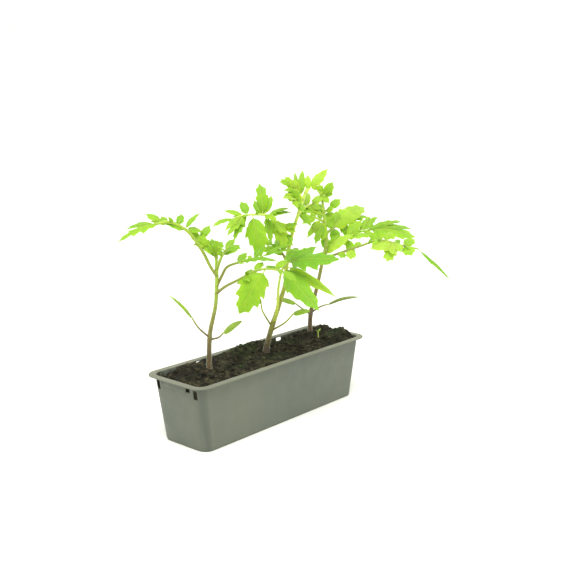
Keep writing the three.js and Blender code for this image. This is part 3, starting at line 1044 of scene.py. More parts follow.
            # The grips' lower edges take the dust colour as a painted shadow line under each grip.
            is_low = points[:, 2] < self.height - self.grip_depth + self.grip_corner
            is_front = np.abs(points[:, 0]) > self.length / 2 - self.grip_inset - self.grip_front
            draft.add(points, faces, age=np.where(is_low & ~is_front, 1.0, 0.0))
        piece = draft.piece("trough_shell", [finish], Slot.TROUGH, "trough")
        edge = piece.modifiers.new("moulded_edges", "BEVEL")
        edge.width, edge.segments, edge.limit_method = self.moulded_edge * MM, 2, "ANGLE"
        edge.angle_limit = math.radians(self.moulded_angle)
        edge.harden_normals = False
        return piece


# ---------------------------------------------------------------- peat


@dataclass
class Peat:
    """The crumbly bed of peat, with loose crumbs, clods and fibres on it."""

    trough: Trough
    level: float = 74.5
    end_dip: float = 5.0
    crown: float = 3.0
    grain: float = 3.0
    gap: float = 0.25
    columns: int = 300
    rows: int = 92
    crumbs: int = 3000
    clods: int = 420
    fibres: int = 150
    crumb_sizes: Pair = (0.35, 1.5)
    clod_sizes: Pair = (1.2, 3.2)
    fibre_lengths: Pair = (3, 10)
    fibre_radii: Pair = (0.18, 0.45)
    pit_depth: float = 3.6
    pit_share: float = 0.25
    crack_depth: float = 6.0
    crack_share: float = 0.22
    clod_cells: Pair = (19, 17)
    small_clod_cell: float = 8
    dip_span: Pair = (0.6, 0.95)
    pit_cell: float = 6.5
    pit_start: float = 40
    crack_cells: Pair = (9.5, 8.0)
    crack_start: float = 11
    tone_cells: Pair = (3.1, 2.9)
    bed_tone: float = 0.4
    lump_stretch: Pair = (0.55, 1.15)
    lump_knobs: Pair = (0.72, 1.2)
    lump_shape: Triple = (1.0, 1.0, 0.75)
    bank_squeeze: float = 2
    film_squeeze: float = 1.6
    crumb_reach: float = 0.985
    crumb_inset: Pair = (0.004, 0.012)
    crumb_sink: float = 0.35
    fibre_reach: float = 0.95
    fibre_inset: Pair = (0.98, 0.94)
    fibre_rise: float = 0.5
    fibre_slope: Pair = (-0.25, 0.3)
    fibre_bend: float = 0.15
    below: float = 50.0
    seed: int = 41
    crumb_layers: tuple[tuple[float, ...], ...] = (
        (0.9, 4.3, 4.1, 7, 0), (0.7, 2.3, 2.2, 0, 5), (0.5, 1.2, 1.15, 3, 0),
    )
    banks: tuple[tuple[float, float, float, float], ...] = (
        (6, 33, 10, 30), (129, 13, 7.5, 26), (129, -16, 9, 24), (70, 44, -11, 20), (-67, 44, 5, 13),
    )
    film_spots: tuple[Triple, ...] = (
        (2, -16, 18), (-20, 4, 10), (60, 8, 12), (-6, 26, 20), (44, 26, 16), (-50, -8, 10), (120, -10, 16),
    )

    def base_height(self, x: Array, y: Array) -> Array:
        """Gives the bed's height without its fine crumbs.

        Args:
            x: Places along the trough.
            y: Places across it.

        Returns:
            The heights.
        """
        along, over = x / (self.trough.length / 2), y / (self.trough.width / 2)
        height = self.level + self.crown * (1 - over**2)
        height = height - self.end_dip * smoothstep(-along, *self.dip_span)
        for bank_x, bank_y, rise, spread in self.banks:
            apart = (x - bank_x) ** 2 + (self.bank_squeeze * (y - bank_y)) ** 2
            height = height + rise * np.exp(-apart / spread**2)
        (wide, deep), small = self.clod_cells, self.small_clod_cell
        clods = value_noise(x / wide, y / deep) + 0.5 * value_noise(x / small, y / small)
        return height + self.grain * clods

    def height(self, x: Array, y: Array) -> Array:
        """Gives the bed's height with its crumbs.

        Args:
            x: Places along the trough.
            y: Places across it.

        Returns:
            The heights.
        """
        fine = np.zeros_like(x)
        for size, wide, deep, start_x, start_y in self.crumb_layers:
            fine += size * value_noise(x / wide + start_x, y / deep + start_y)
        pits = value_noise(x / self.pit_cell + self.pit_start, y / self.pit_cell)
        pits = np.minimum(pits + self.pit_share, 0.0)
        wide, deep = self.crack_cells
        cracks = np.abs(value_noise(x / wide + self.crack_start, y / deep))
        cracks = np.minimum(cracks - self.crack_share, 0.0)
        return self.base_height(x, y) + fine + self.pit_depth * pits + self.crack_depth * cracks

    def spread(self, u: Array, v: Array, z: float) -> tuple[Array, Array]:
        """Fits a square of places to the room inside the walls.

        Args:
            u: Places from -1 to 1 along the trough.
            v: Places from -1 to 1 across it.
            z: The height that the room is read at.

        Returns:
            The places along and across, in millimetres.
        """
        half_length, half_width, radius = self.trough.wall_sizes(z, self.trough.wall + self.gap)
        y = v * half_width
        into = np.maximum(np.abs(y) - (half_width - radius), 0.0)
        x = u * (half_length - radius + np.sqrt(np.maximum(radius**2 - into**2, 0.0)))
        return x, y

    def film(self, x: Array, y: Array) -> Array:
        """Gives how much green film lies at each place.

        Args:
            x: Places along the trough.
            y: Places across it.

        Returns:
            The film's cover, from 0 to 1.
        """
        cover = np.zeros_like(x)
        for spot_x, spot_y, spread in self.film_spots:
            apart = (x - spot_x) ** 2 + (self.film_squeeze * (y - spot_y)) ** 2
            cover = np.maximum(cover, np.exp(-apart / spread**2))
        return cover

    def bed(self, draft: Draft) -> None:
        """Adds the bed itself, closed down to the trough's floor.

        Args:
            draft: The piece.
        """
        rows, columns = self.rows, self.columns
        grid_u, grid_v = np.meshgrid(np.linspace(-1, 1, columns), np.linspace(-1, 1, rows))
        x, y = self.spread(grid_u, grid_v, self.level)
        rings = [np.stack((x, y, self.height(x, y)), axis=-1).reshape(-1, 3)]
        faces = grid_faces(rows, columns)
        rim = grid_rim(rows, columns)
        rim_u, rim_v = grid_u.reshape(-1)[rim], grid_v.reshape(-1)[rim]
        before, start = rim, rows * columns
        for z in (self.below, self.trough.floor + self.gap):
            x, y = self.spread(rim_u, rim_v, z)
            rings.append(np.column_stack((x, y, np.full(len(rim), z))))
            ring = [*range(start, start + len(rim))]
            faces += zip(before, ring, ring[1:] + ring[:1], before[1:] + before[:1])
            before, start = ring, start + len(rim)
        faces.append(tuple(before[::-1]))
        points = np.vstack(rings)
        wide, deep = self.tone_cells
        tone = np.clip(value_noise(points[:, 0] / wide, points[:, 1] / deep) * 0.5, 0.0, 1.0)
        film = self.film(points[:, 0], points[:, 1])
        draft.add(points, faces, under=film, tone=tone * self.bed_tone)

    def lump(self, rng: np.random.Generator, fine: bool) -> tuple[Array, Faces]:
        """Makes an uneven lump of size 1.

        Args:
            rng: The random draw.
            fine: True for more faces.

        Returns:
            The points and the faces.
        """
        points, faces = LUMPS[fine]
        stretch = rng.uniform(*self.lump_stretch, 3) * self.lump_shape
        knobs = rng.uniform(*self.lump_knobs, len(points))
        return points * knobs[:, None] * stretch, faces

    def scatter(self, draft: Draft, rng: np.random.Generator) -> None:
        """Lays crumbs and clods on the bed.

        Args:
            draft: The piece.
            rng: The random draw.
        """
        for number in range(self.crumbs + self.clods):
            is_clod = number >= self.crumbs
            size = rng.uniform(*(self.clod_sizes if is_clod else self.crumb_sizes))
            u, v = rng.uniform(-self.crumb_reach, self.crumb_reach, 2)
            x, y = self.spread(np.array([u]), np.array([v]), self.level)
            x, y = x * (1 - self.crumb_inset[0] * size), y * (1 - self.crumb_inset[1] * size)
            z = self.height(x, y) + size * rng.uniform(-self.crumb_sink, self.crumb_sink)
            points, faces = self.lump(rng, is_clod)
            centre = np.array((x[0], y[0], z[0]))
            tone = rng.uniform(0.0, 1.0) ** 4
            film = float(self.film(x, y)[0])
            draft.add(points * size + centre, faces, tone=tone, under=film)

    def strew(self, draft: Draft, rng: np.random.Generator) -> None:
        """Lays thin stalk and bark fibres on the bed.

        Args:
            draft: The piece.
            rng: The random draw.
        """
        for _ in range(self.fibres):
            u, v = rng.uniform(-self.fibre_reach, self.fibre_reach, 2)
            x, y = self.spread(np.array([u]), np.array([v]), self.level)
            z = self.height(x, y)[0] + self.fibre_rise
            centre = np.array((x[0] * self.fibre_inset[0], y[0] * self.fibre_inset[1], z))
            out, _ = heading_axes(rng.uniform(0, 360))
            along = unit(out + UP * rng.uniform(*self.fibre_slope))
            length, thick = rng.uniform(*self.fibre_lengths), rng.uniform(*self.fibre_radii)
            bend = unit(np.cross(along, UP)) * rng.uniform(-self.fibre_bend, self.fibre_bend) * length
            half = along * length / 2
            course = Course([centre - half, centre + bend, centre + half])
            add_tube(draft, course, lambda p, t=thick: t * (1 - 0.5 * p), 5, 5, finish=1)

    def build(self, finishes: Sequence[Material]) -> Object:
        """Makes the piece.

        Args:
            finishes: The peat's and the fibres' materials.

        Returns:
            The bed's object.
        """
        rng = np.random.default_rng(self.seed)
        draft = Draft()
        self.bed(draft)
        self.scatter(draft, rng)
        self.strew(draft, rng)
        return draft.piece("peat_bed", finishes, Slot.PEAT, "soil")


def icosahedron() -> tuple[Array, Faces]:
    """Gives a unit icosahedron.

    Returns:
        Its points and its faces.
    """
    g = (1 + math.sqrt(5)) / 2
    corners = [(-1, g, 0), (1, g, 0), (-1, -g, 0), (1, -g, 0), (0, -1, g), (0, 1, g)]
    corners += [(0, -1, -g), (0, 1, -g), (g, 0, -1), (g, 0, 1), (-g, 0, -1), (-g, 0, 1)]
    faces = [(0, 11, 5), (0, 5, 1), (0, 1, 7), (0, 7, 10), (0, 10, 11), (1, 5, 9), (5, 11, 4)]
    faces += [(11, 10, 2), (10, 7, 6), (7, 1, 8), (3, 9, 4), (3, 4, 2), (3, 2, 6), (3, 6, 8)]
    faces += [(3, 8, 9), (4, 9, 5), (2, 4, 11), (6, 2, 10), (8, 6, 7), (9, 8, 1)]
    return unit(np.array(corners, float)), faces


def split_sphere(points: Array, faces: Sequence[tuple[int, ...]]) -> tuple[Array, Faces]:
    """Cuts each face of a unit sphere in four.

    Args:
        points: The sphere's points.
        faces: Its triangles.

    Returns:
        The finer points and faces.
    """
    points_list = [tuple(point) for point in points]
    middles: dict[tuple[int, int], int] = {}

    def middle(a: int, b: int) -> int:
        """Gives the number of the point between two points.

        Args:
            a: One corner's number.
            b: The other corner's number.

        Returns:
            The number of the point between them.
        """
        key = (min(a, b), max(a, b))
        if key not in middles:
            middles[key] = len(points_list)
            points_list.append(tuple(unit(np.array(points_list[a]) + np.array(points_list[b]))))
        return middles[key]

    finer = []
    for a, b, c in faces:
        ab, bc, ca = middle(a, b), middle(b, c), middle(c, a)
        finer += [(a, ab, ca), (b, bc, ab), (c, ca, bc), (ab, bc, ca)]
    return np.array(points_list), finer


LUMPS = {False: icosahedron(), True: split_sphere(*icosahedron())}


# ---------------------------------------------------------------- stems and ribs


GROOVE_SPREAD = 0.55
STEEP = 0.8
HAIR_ROOT = 0.1
HAIR_THICKNESS = 0.075
HAIR_LEAN = (-0.35, 0.5)
HAIR_TURNS = (0, 2.1, 4.2)


def tube_frame(course: Course, places: Array, side: Array | None = None) -> tuple[Array, Array, Array]:
    """Gives the centre and the cross axes along a curve.

    Args:
        course: The curve.
        places: Places along it.
        side: An axis square to the curve's plane, or None to choose one.

    Returns:
        Centres, side axes and across axes, one for each place.
    """
    centres, along = course.at(places), course.along(places)
    if side is None:
        lean = UP if abs(along[0, 2]) < STEEP else np.array((1.0, 0.0, 0.0))
        side = unit(np.cross(along[0], lean))
    across = unit(np.cross(along, side))
    sides = unit(np.cross(across, along))
    return centres, sides, across


def add_tube(
    draft: Draft, course: Course, radius: Callable[[Array], Array], steps: int, sides: int,
    side: Array | None = None, finish: int = 0, age: Callable[[Array], Array] | float = 0.0,
    groove: float = 0.0,
) -> None:
    """Adds a closed tube along a curve.

    Args:
        draft: The piece that it goes to.
        course: The curve.
        radius: Its radius at each place.
        steps: Rings along it, less one.
        sides: Points in a ring.
        side: An axis square to the curve's plane, or None to choose one.
        finish: Which of the piece's finishes it takes.
        age: The age value, one for all or one for each place.
        groove: How deep the channel along its upper side is, as a share of the radius.
    """
    places = np.linspace(0.0, 1.0, steps + 1)
    centres, side_axes, across = tube_frame(course, places, side)
    turns = np.linspace(0.0, 2 * math.pi, sides, endpoint=False)
    radii = np.asarray(radius(places))[:, None] * np.ones(sides)
    upper = np.exp(-((np.angle(np.exp(1j * (turns - math.pi / 2)))) / GROOVE_SPREAD) ** 2)
    radii = radii * (1 - groove * upper)
    ring = (
        side_axes[:, None, :] * np.cos(turns)[None, :, None]
        - across[:, None, :] * np.sin(turns)[None, :, None]
    )
    points = centres[:, None, :] + ring * radii[:, :, None]
    faces = turned(grid_faces(steps + 1, sides, closed=True) + caps(sides, steps + 1))
    draft.add(points, faces, finish, age=np.repeat(age(places), sides) if callable(age) else age)


def add_hairs(
    draft: Draft, course: Course, radius: Callable[[Array], Array], rng: np.random.Generator,
    per_mm: float, span: Pair, reach: Pair, finish: int,
) -> None:
    """Stands fine hairs on a tube.

    Args:
        draft: The piece that they go to.
        course: The tube's curve.
        radius: Its radius at each place.
        rng: The random draw.
        per_mm: Hairs for each millimetre of length.
        span: The places between which they stand.
        reach: Their least and greatest length.
        finish: Which of the piece's finishes they take.
    """
    count = int(per_mm * course.length * (span[1] - span[0]))
    places = rng.uniform(*span, count)
    turns = rng.uniform(0, 2 * math.pi, count)
    centres, sides, across = tube_frame(course, places)
    along = course.along(places)
    normal = sides * np.cos(turns)[:, None] + across * np.sin(turns)[:, None]
    radii = np.asarray(radius(places))[:, None]
    foot = centres + normal * radii * (1 - HAIR_ROOT)
    length = rng.uniform(*reach, count)[:, None]
    lean = rng.uniform(*HAIR_LEAN, count)[:, None]
    tip = foot + unit(normal + along * lean) * (length + radii * HAIR_ROOT)
    around = unit(np.cross(normal, along))
    corners = [foot + HAIR_THICKNESS * (around * math.cos(t) + along * math.sin(t)) for t in HAIR_TURNS]
    points = np.stack((*corners, tip), axis=1)
    faces = []
    for a in range(0, 4 * count, 4):
        faces += [(a + 1, a, a + 3), (a + 2, a + 1, a + 3), (a, a + 2, a + 3), (a, a + 1, a + 2)]
    draft.add(points, faces, finish)


@dataclass
class Stem:
    """One plant's stem: a hairy tube that swells where leaves leave it.

    A row of hairs is how many stand on each millimetre, and the place on the stem where they end.
    """

    plant: Plant
    foot: Triple
    line: tuple[Pair, ...]
    joints: tuple[float, ...]
    lean_heading: float = -49.0
    buried: float = 26.0
    foot_radius: float = 3.05
    tip_radius: float = 1.6
    flare: float = 1.4
    flare_height: float = 10.0
    joint_swell: float = 0.32
    joint_spread: float = 3.2
    hair_lengths: Pair = (0.5, 1.2)
    hair_rows: tuple[Pair, ...] = ((14.0, 0.995), (20.0, 0.45))
    uneven: float = 0.07
    uneven_waves: Pair = (1.7, 0.43)
    rings: int = 150
    sides: int = 16
    seed: int = 7
    course: Course = field(init=False)

    def __post_init__(self) -> None:
        """Lays the stem's curve."""
        out, _ = heading_axes(self.lean_heading)
        foot = np.array(self.foot)
        points = [foot - UP * self.buried]
        points += [foot + out * lean + UP * height for lean, height in self.line]
        self.course = Course(points)

    @property
    def ground(self) -> float:
        """How high the stem's foot is."""
        return self.foot[2]

    def point_at(self, height: float) -> Array:
        """Returns the stem's point at a height above its foot."""
        return self.course.at(self.course.place_at_height(self.ground + height))[0]

    def radius(self, places: Array) -> Array:
        """Gives the stem's radius with its flare and its swellings.

        Args:
            places: Places along the stem.

        Returns:
            The radii.
        """
        places = np.atleast_1d(places)
        height = np.maximum(self.course.at(places)[:, 2] - self.ground, 0.0)
        radii = self.foot_radius + (self.tip_radius - self.foot_radius) * places
        radii = radii + self.flare * np.exp(-height / self.flare_height)
        for joint in self.joints:
            radii = radii + self.joint_swell * np.exp(-(((height - joint) / self.joint_spread) ** 2))
        short, long = self.uneven_waves
        return radii + self.uneven * np.sin(height * short) * np.sin(height * long)

    def age(self, places: Array) -> Array:
        """Returns how young the stem is at each place: 0 at the peat and 1 at the tip."""
        top = self.line[-1][1]
        return np.clip((self.course.at(places)[:, 2] - self.ground) / top, 0.0, 1.0)

    def build(self, finishes: Sequence[Material]) -> Object:
        """Makes the piece.

        Args:
            finishes: The skin's and the hairs' materials.

        Returns:
            The stem's object.
        """
        rng = np.random.default_rng(self.seed + len(self.plant.value))
        draft = Draft()
        _, side = heading_axes(self.lean_heading)
        add_tube(draft, self.course, self.radius, self.rings, self.sides, side, age=self.age)
        start = self.buried / self.course.length
        for per_mm, end in self.hair_rows:
            add_hairs(draft, self.course, self.radius, rng, per_mm, (start, end), self.hair_lengths, 1)
        name = f"{self.plant.value}_stem"
        return draft.piece(f"{name}_skin", finishes, Slot.STEM, name)


# ---------------------------------------------------------------- leaves


LIGHT_HEADING = 221.0


def face_at(tilt: float) -> Array:
    """Gives the way a blade's upper face looks, leaned by a tilt from the sky to the light.

    Args:
        tilt: The tilt, in degrees.

    Returns:
        The way, as a unit vector.
    """
    out, _ = heading_axes(LIGHT_HEADING)
    lean = math.radians(tilt)
    return out * math.sin(lean) + UP * math.cos(lean)


@dataclass(frozen=True)
class BladeCut:
    """How a blade is cut, folded and quilted.

    The widths, the thicknesses, stalk_half, tip_half and groove are millimetres, the rest shares.
    A rise or a fall is the outline's power near the base or the tip, with what a slim blade adds.
    """

    stalk: float = 0.09
    stalk_half: float = 0.75
    stalk_overlap: float = 1.15
    stalk_age: float = 0.75
    tip_half: float = 0.12
    notch: float = 0.62
    sweep: float = 0.5
    lag: float = 1.35
    rise: Pair = (0.38, 0.3)
    fall: Pair = (0.85, 0.45)
    plain_start: float = 0.06
    plain_peak: float = 0.8
    plain_round: float = 0.55
    fullness: float = 1.12
    least_width: float = 0.6
    slim_width: float = 26.0
    fold: float = 0.22
    arch: float = 0.1
    quilt: float = 0.075
    edge_thickness: float = 0.16
    thickness: float = 0.34
    rib_thickness: float = 0.75
    side_vein: float = 0.3
    side_vein_spread: float = 0.22
    upper_share: float = 0.35
    steps: tuple[float, ...] = (0.0, 0.1, 0.24, 0.42, 0.62, 0.82)
    columns: tuple[float, ...] = (0.0, 0.05, 0.14, 0.3, 0.48, 0.66, 0.82, 0.94, 1.0)
    first_phase: float = 0.35
    last_phase: float = 0.3
    plain_rows: int = 4
    first_row: float = 0.012
    last_row: float = 0.985
    tooth_sizes: Pair = (0.82, 1.12)
    tooth_depths: Pair = (0.45, 1.3)
    notch_curve: float = 0.85
    base_notch: float = 1.25
    notch_fade: float = 0.6
    fine_teeth: int = 3
    fine_depth: float = 0.06
    waves: Pair = (0.02, 0.07)
    curls: Pair = (-0.02, 0.14)
    puff_curve: float = 0.8
    puff_place: float = 0.9
    sweep_curve: float = 1.3
    groove_share: float = 0.04
    twist: float = 0.16
    bow: float = 0.03
    fine_width: float = 14.0
    vein_width: float = 0.8
    groove_width: float = 1.0
    groove: float = 0.35


@dataclass
class Blade:
    """One thin leaf blade between two points, closed all round."""

    base: Array
    tip: Array
    width: float
    teeth: int
    tilt: float
    cut: BladeCut
    rng: np.random.Generator
    age: float = 0.5
    # Painted shade for how the light falls on the blade; below 0 it paints the blade paler.
    shade: float = 0.0

    def __post_init__(self) -> None:
        """Sets the blade's axes."""
        span = self.tip - self.base
        self.length = float(np.linalg.norm(span))
        self.along = span / self.length
        self.side = unit(np.cross(face_at(self.tilt), self.along))
        self.up = unit(np.cross(self.along, self.side))

    def row_places(self) -> tuple[Array, Array]:
        """Gives the rows of the blade.

        Returns:
            Each row's place from the stalk to the tip, and its phase, which is whole at each tooth.
        """
        cut = self.cut
        count = 2 * self.teeth or cut.plain_rows
        steps = np.array(cut.steps)
        whole = []
        for tooth in range(-1, count // 2 + 2):
            whole += [tooth - 0.5 * steps[::-1], tooth + 0.5 * steps[1:], [tooth + 0.5]]
        phase = np.unique(np.round(np.concatenate(whole), 6))
        place = (2 * phase + 1 - cut.first_phase) / (count + cut.last_phase)
        keep = (place > cut.first_row) & (place < cut.last_row)
        place = np.concatenate(([0.0], place[keep], [1.0]))
        return place, (place * (count + cut.last_phase) + cut.first_phase - 1) / 2

    @property
    def full_width(self) -> float:
        """The blade's widest width, teeth included.

        Returns:
            The width, in millimetres.
        """
        if not self.teeth:
            return self.width
        return self.width * self.cut.fullness + self.cut.least_width

    def swell(self, place: Array) -> Array:
        """Gives the share of the width at each place: broad near the base, pointed at the tip.

        Args:
            place: Places from the stalk to the tip.

        Returns:
            The share at each place.
        """
        place = np.clip(place, 0.0, 1.0)
        cut = self.cut
        if not self.teeth:
            start = cut.plain_start
            return np.sin(math.pi * (start + (1 - start) * place) ** cut.plain_peak) ** cut.plain_round
        slim = max(0.0, 1.0 - self.width / cut.slim_width)
        rise, fall = cut.rise[0] + cut.rise[1] * slim, cut.fall[0] + cut.fall[1] * slim
        peak = rise / (rise + fall)
        return place**rise * (1 - place) ** fall / (peak**rise * (1 - peak) ** fall)

    def reach(self, place: Array, phase: Array) -> tuple[Array, Array]:
        """Gives the half width and the forward sweep on both sides.

        Args:
            place: Places from the stalk to the tip.
            phase: The tooth phase at each place.

        Returns:
            Half widths and sweeps, as two columns for the right and the left side.
        """
        plan, swell = self.cut, self.swell(place)
        between = self.between(phase)
        halves, sweeps = [], []
        for _ in range(2):
            knots = np.arange(-2, len(place))
            size = np.interp(phase, knots, self.rng.uniform(*plan.tooth_sizes, len(knots)))
            depth = np.interp(phase, knots, self.rng.uniform(*plan.tooth_depths, len(knots)))
            if self.teeth:
                notch = (1 - plan.notch) * depth * between**plan.notch_curve
                notch = notch * (plan.base_notch - plan.notch_fade * place)
                turn = phase * plan.fine_teeth + 0.5
                fine = 2 * np.abs(turn - np.round(turn))
                cut = (1 - notch) * (1 - plan.fine_depth * fine * (self.width > plan.fine_width))
                sweep = plan.sweep * (1 - between)
            else:
                cut, sweep, size = 1.0, 0.0, 1.0
            half = self.full_width / 2 * swell * cut * size
            halves.append(half)
            sweeps.append(half * sweep)
        return np.column_stack(halves), np.column_stack(sweeps)

    def quilted(self, z: Array, place: Array, phase: Array, across: Array, half: Array) -> Array:
        """Lays puffs, the groove over the rib, waves and curl on the blade's face.

        Args:
            z: The face's height at each point.
            place: Each row's place from the stalk to the tip, as a column.
            phase: Each row's tooth phase, as a column.
            across: Each column's way from the rib to the edge, -1 to 1, as a row.
            half: The half width at each point.

        Returns:
            The height at each point.
        """
        cut, rng, share = self.cut, self.rng, np.abs(across)
        between = self.between(phase)
        puff = cut.quilt * half * between**cut.puff_curve
        puff = puff * np.sin(math.pi * share**cut.puff_place) * (self.teeth > 0)
        groove = np.exp(-((across * half / cut.groove_width) ** 2))
        groove = groove * np.minimum(cut.groove, cut.groove_share * self.width) * (1 - 0.5 * place)
        wave = rng.uniform(*cut.waves) * half * share**2
        wave = wave * np.sin(2 * math.pi * (phase * 0.5) + rng.uniform(0, 6.28) + (across > 0))
        curl = rng.uniform(*cut.curls) * half * share**3 * (1 - between)
        return z + puff - groove + wave - curl

    def between(self, phase: Array) -> Array:
        """Returns how far each row is from the nearest tooth's tip, from 0 to 1."""
        return 2 * np.abs(phase - np.round(phase)) if self.teeth else np.full_like(phase, 0.5)

    def add_to(self, draft: Draft) -> None:
        """Adds the blade and its stalk to a piece, which has the finishes blade, rib and hair.

        Args:
            draft: The piece.
        """
        cut, rng = self.cut, self.rng
        place, phase = self.row_places()
        halves, sweeps = self.reach(place, phase)
        least = np.where(place >= 1.0, cut.tip_half, cut.stalk_half * (1 - 0.4 * place))[:, None]
        halves = np.maximum(halves, least)
        columns = np.array(cut.columns)
        across = np.concatenate((-columns[:0:-1], columns))[None, :]
        share, place, phase = np.abs(across), place[:, None], phase[:, None]
        half = np.where(across > 0, halves[:, 1:2], halves[:, 0:1])
        sweep = np.where(across > 0, sweeps[:, 1:2], sweeps[:, 0:1])
        whole = cut.stalk + (1 - cut.stalk) * place
        start = cut.stalk + (1 - cut.stalk) * place ** (cut.lag if self.teeth else 1.0)
        x = (start + (whole - start) * share) * self.length + share**cut.sweep_curve * sweep
        y = across * half
        z = cut.arch * self.length * np.sin(math.pi * whole) - np.abs(y) * cut.fold
        z = self.quilted(z, place, phase, across, half)
        twist = rng.uniform(-cut.twist, cut.twist) * (place - 0.3)
        bow = rng.uniform(-cut.bow, cut.bow) * self.length * np.sin(math.pi * place)
        y_turned = y * np.cos(twist) + bow
        z = z + y * np.sin(twist)
        vein = np.exp(-((y / cut.vein_width) ** 2)) * (1 - 0.75 * place)
        lateral = np.exp(-((self.between(phase) / cut.side_vein_spread) ** 2))
        lateral = lateral * (1 - share) * cut.side_vein
        thick = cut.thickness + cut.rib_thickness * vein * min(1.0, self.width / cut.fine_width) + lateral
        thick = thick * (1 - share**2) + cut.edge_thickness * share**2
        middle = self.base + self.along * x[..., None]
        middle = middle + self.side * y_turned[..., None] + self.up * z[..., None]
        top = middle + self.up * (thick[..., None] * cut.upper_share)
        bottom = middle - self.up * (thick[..., None] * (1 - cut.upper_share))
        rows, count = x.shape
        total, rim = rows * count, grid_rim(rows, count)
        upper = grid_faces(rows, count)
        faces = turned(upper) + [tuple(i + total for i in face) for face in upper]
        for a, b in zip(rim, rim[1:] + rim[:1]):
            faces.append((b + total, a + total, a, b))

        def both(block: Array) -> Array:
            """Returns a value of the grid's points, for the upper and the lower face."""
            return np.tile(np.broadcast_to(block, x.shape).reshape(-1), 2)

        # The tone mark is the blade's painted shade, from its shade value, plus a random tone of its own.
        draft.add(
            np.concatenate((top.reshape(-1, 3), bottom.reshape(-1, 3))), faces,
            age=self.age,
            tone=float(np.clip(0.5 + 0.5 * self.shade + rng.uniform(-0.25, 0.25), 0.0, 1.0)),
            under=np.repeat((0.0, 1.0), total),
            phase=both(phase + 10.0) if self.teeth else 0.5,
            across=both(across),
            offset=both(y),
        )
        self.add_stalk(draft)

    def add_stalk(self, draft: Draft) -> None:
        """Adds the blade's own short stalk, in the rib's finish.

        Args:
            draft: The piece.
        """
        cut = self.cut
        points = [
            self.base + self.along * s * self.length
            + self.up * cut.arch * self.length * math.sin(math.pi * s)
            for s in np.linspace(0.0, cut.stalk * cut.stalk_overlap, 4)
        ]
        thick = cut.stalk_half * min(1.0, 0.45 + self.width / cut.slim_width)
        add_tube(
            draft, Course(points), lambda p: thick * (1.15 - 0.35 * p), 4, 7, finish=1,
            age=cut.stalk_age,
        )


@dataclass(frozen=True)
class Leaflet:
    """One leaflet: its place on the rib, its tip, width and tilt, how dark its painted shade makes it
    (paler below 0), and how cut and arched it is.
    """

    at: float
    out: float
    left: float
    up: float
    width: float
    tilt: float
    # Painted shade for how the light falls on the leaflet; below 0 it paints it paler.
    shade: float = 0.0
    notch: float = 0.62
    arch: float = 0.1


@dataclass(frozen=True)
class LeafPlan:
    """A leaf's sizes, in millimetres and degrees, seen from its root in the stem.

    Its rib is a row of [out, up]. A leaflet's row holds the values of Leaflet, in their order.
    """

    height: float
    heading: float
    rib: tuple[Pair, ...]
    leaflets: tuple[tuple[float, ...], ...]
    small: int | None = None
    rib_age: float = 0.62
    rib_tip: float = 1.15


@dataclass(frozen=True)
class SeedLeafPlan:
    """A seed leaf's sizes, in millimetres and degrees, with its tip as [out, up]."""

    height: float
    heading: float
    rib: tuple[Pair, ...]
    tip: Pair
    width: float
    shade: float = -0.4


@dataclass
class Frond:
    """One leaf on its stem: a hairy, channelled rib with its cut leaflets."""

    stem: Stem
    name: str
    plan: LeafPlan | SeedLeafPlan
    slot: Slot = Slot.LEAF
    rib_foot: float = 1.9
    rib_tip: float = 1.15
    rib_age: float = 0.12
    rib_swell: float = 0.5
    swell_length: float = 3.0
    groove: float = 0.22
    ageing: float = 0.4
    ring_gap: float = 2.0
    sides: int = 10
    hair_span: Pair = (0.05, 0.98)
    hair_lengths: Pair = (0.5, 1.1)

    def __post_init__(self) -> None:
        """Lays the rib's curve from the middle of the stem."""
        self.out, self.left = heading_axes(self.plan.heading)
        self.root = self.stem.point_at(self.plan.height)
        points = [self.root] + [self.spot(out, 0.0, up) for out, up in self.plan.rib]
        self.rib = Course(points)

    def spot(self, out: float, left: float, up: float) -> Array:
        """Returns the point that lies out, left and up from the leaf's root."""
        return self.root + self.out * out + self.left * left + UP * up

    def rib_radius(self, places: Array) -> Array:
        """Gives the rib's radius, with its swollen foot.

        Args:
            places: Places along the rib.

        Returns:
            The radii.
        """
        places = np.atleast_1d(places)
        swollen = self.rib_swell * np.exp(-places * self.rib.length / self.swell_length)
        return self.rib_foot + (self.rib_tip - self.rib_foot) * places + swollen

    def add_rib(self, draft: Draft, rng: np.random.Generator, hairs: float) -> None:
        """Adds the rib and its hairs.

        Args:
            draft: The piece.
            rng: The random draw.
            hairs: Hairs for each millimetre of length.
        """
        steps = max(6, round(self.rib.length / self.ring_gap))
        add_tube(
            draft, self.rib, self.rib_radius, steps, self.sides, self.left, finish=1,
            groove=self.groove,
            age=lambda p: np.clip(self.rib_age + self.ageing * np.asarray(p), 0.0, 1.0),
        )
        add_hairs(draft, self.rib, self.rib_radius, rng, hairs, self.hair_span, self.hair_lengths, 2)

    def finish_piece(self, draft: Draft, finishes: Sequence[Material]) -> Object:
        """Returns the leaf's object."""
        return draft.piece(f"{self.name}_frond", finishes, self.slot, self.name)


SMALL_BLADE = 24.0
NARROW_BLADE = 11.0
SMOOTH_NOTCH = 0.84
OLDEST_HEIGHT = 200.0
TINY_EVERY = 16
TINY_PLACES = (0.45, 0.95)
TINY_LENGTHS = (7, 15)
TINY_WIDTH = 0.42
TINY_TILTS = (20, 60)
TINY_ALONG = (0.3, 1.0)
TINY_RISE = (-0.2, 0.7)
LONG_BLADE, MIDDLE_BLADE = 40, 22
LEAF_HAIRS, SEED_LEAF_HAIRS = 7.0, 4.0


def teeth_for(length: float) -> int:
    """Gives how many teeth a leaflet of a length has on each side.

    Args:
        length: The leaflet's length.

    Returns:
        The teeth on a side.
    """
    if length > LONG_BLADE:
        return 4
    return 3 if length > MIDDLE_BLADE else 2


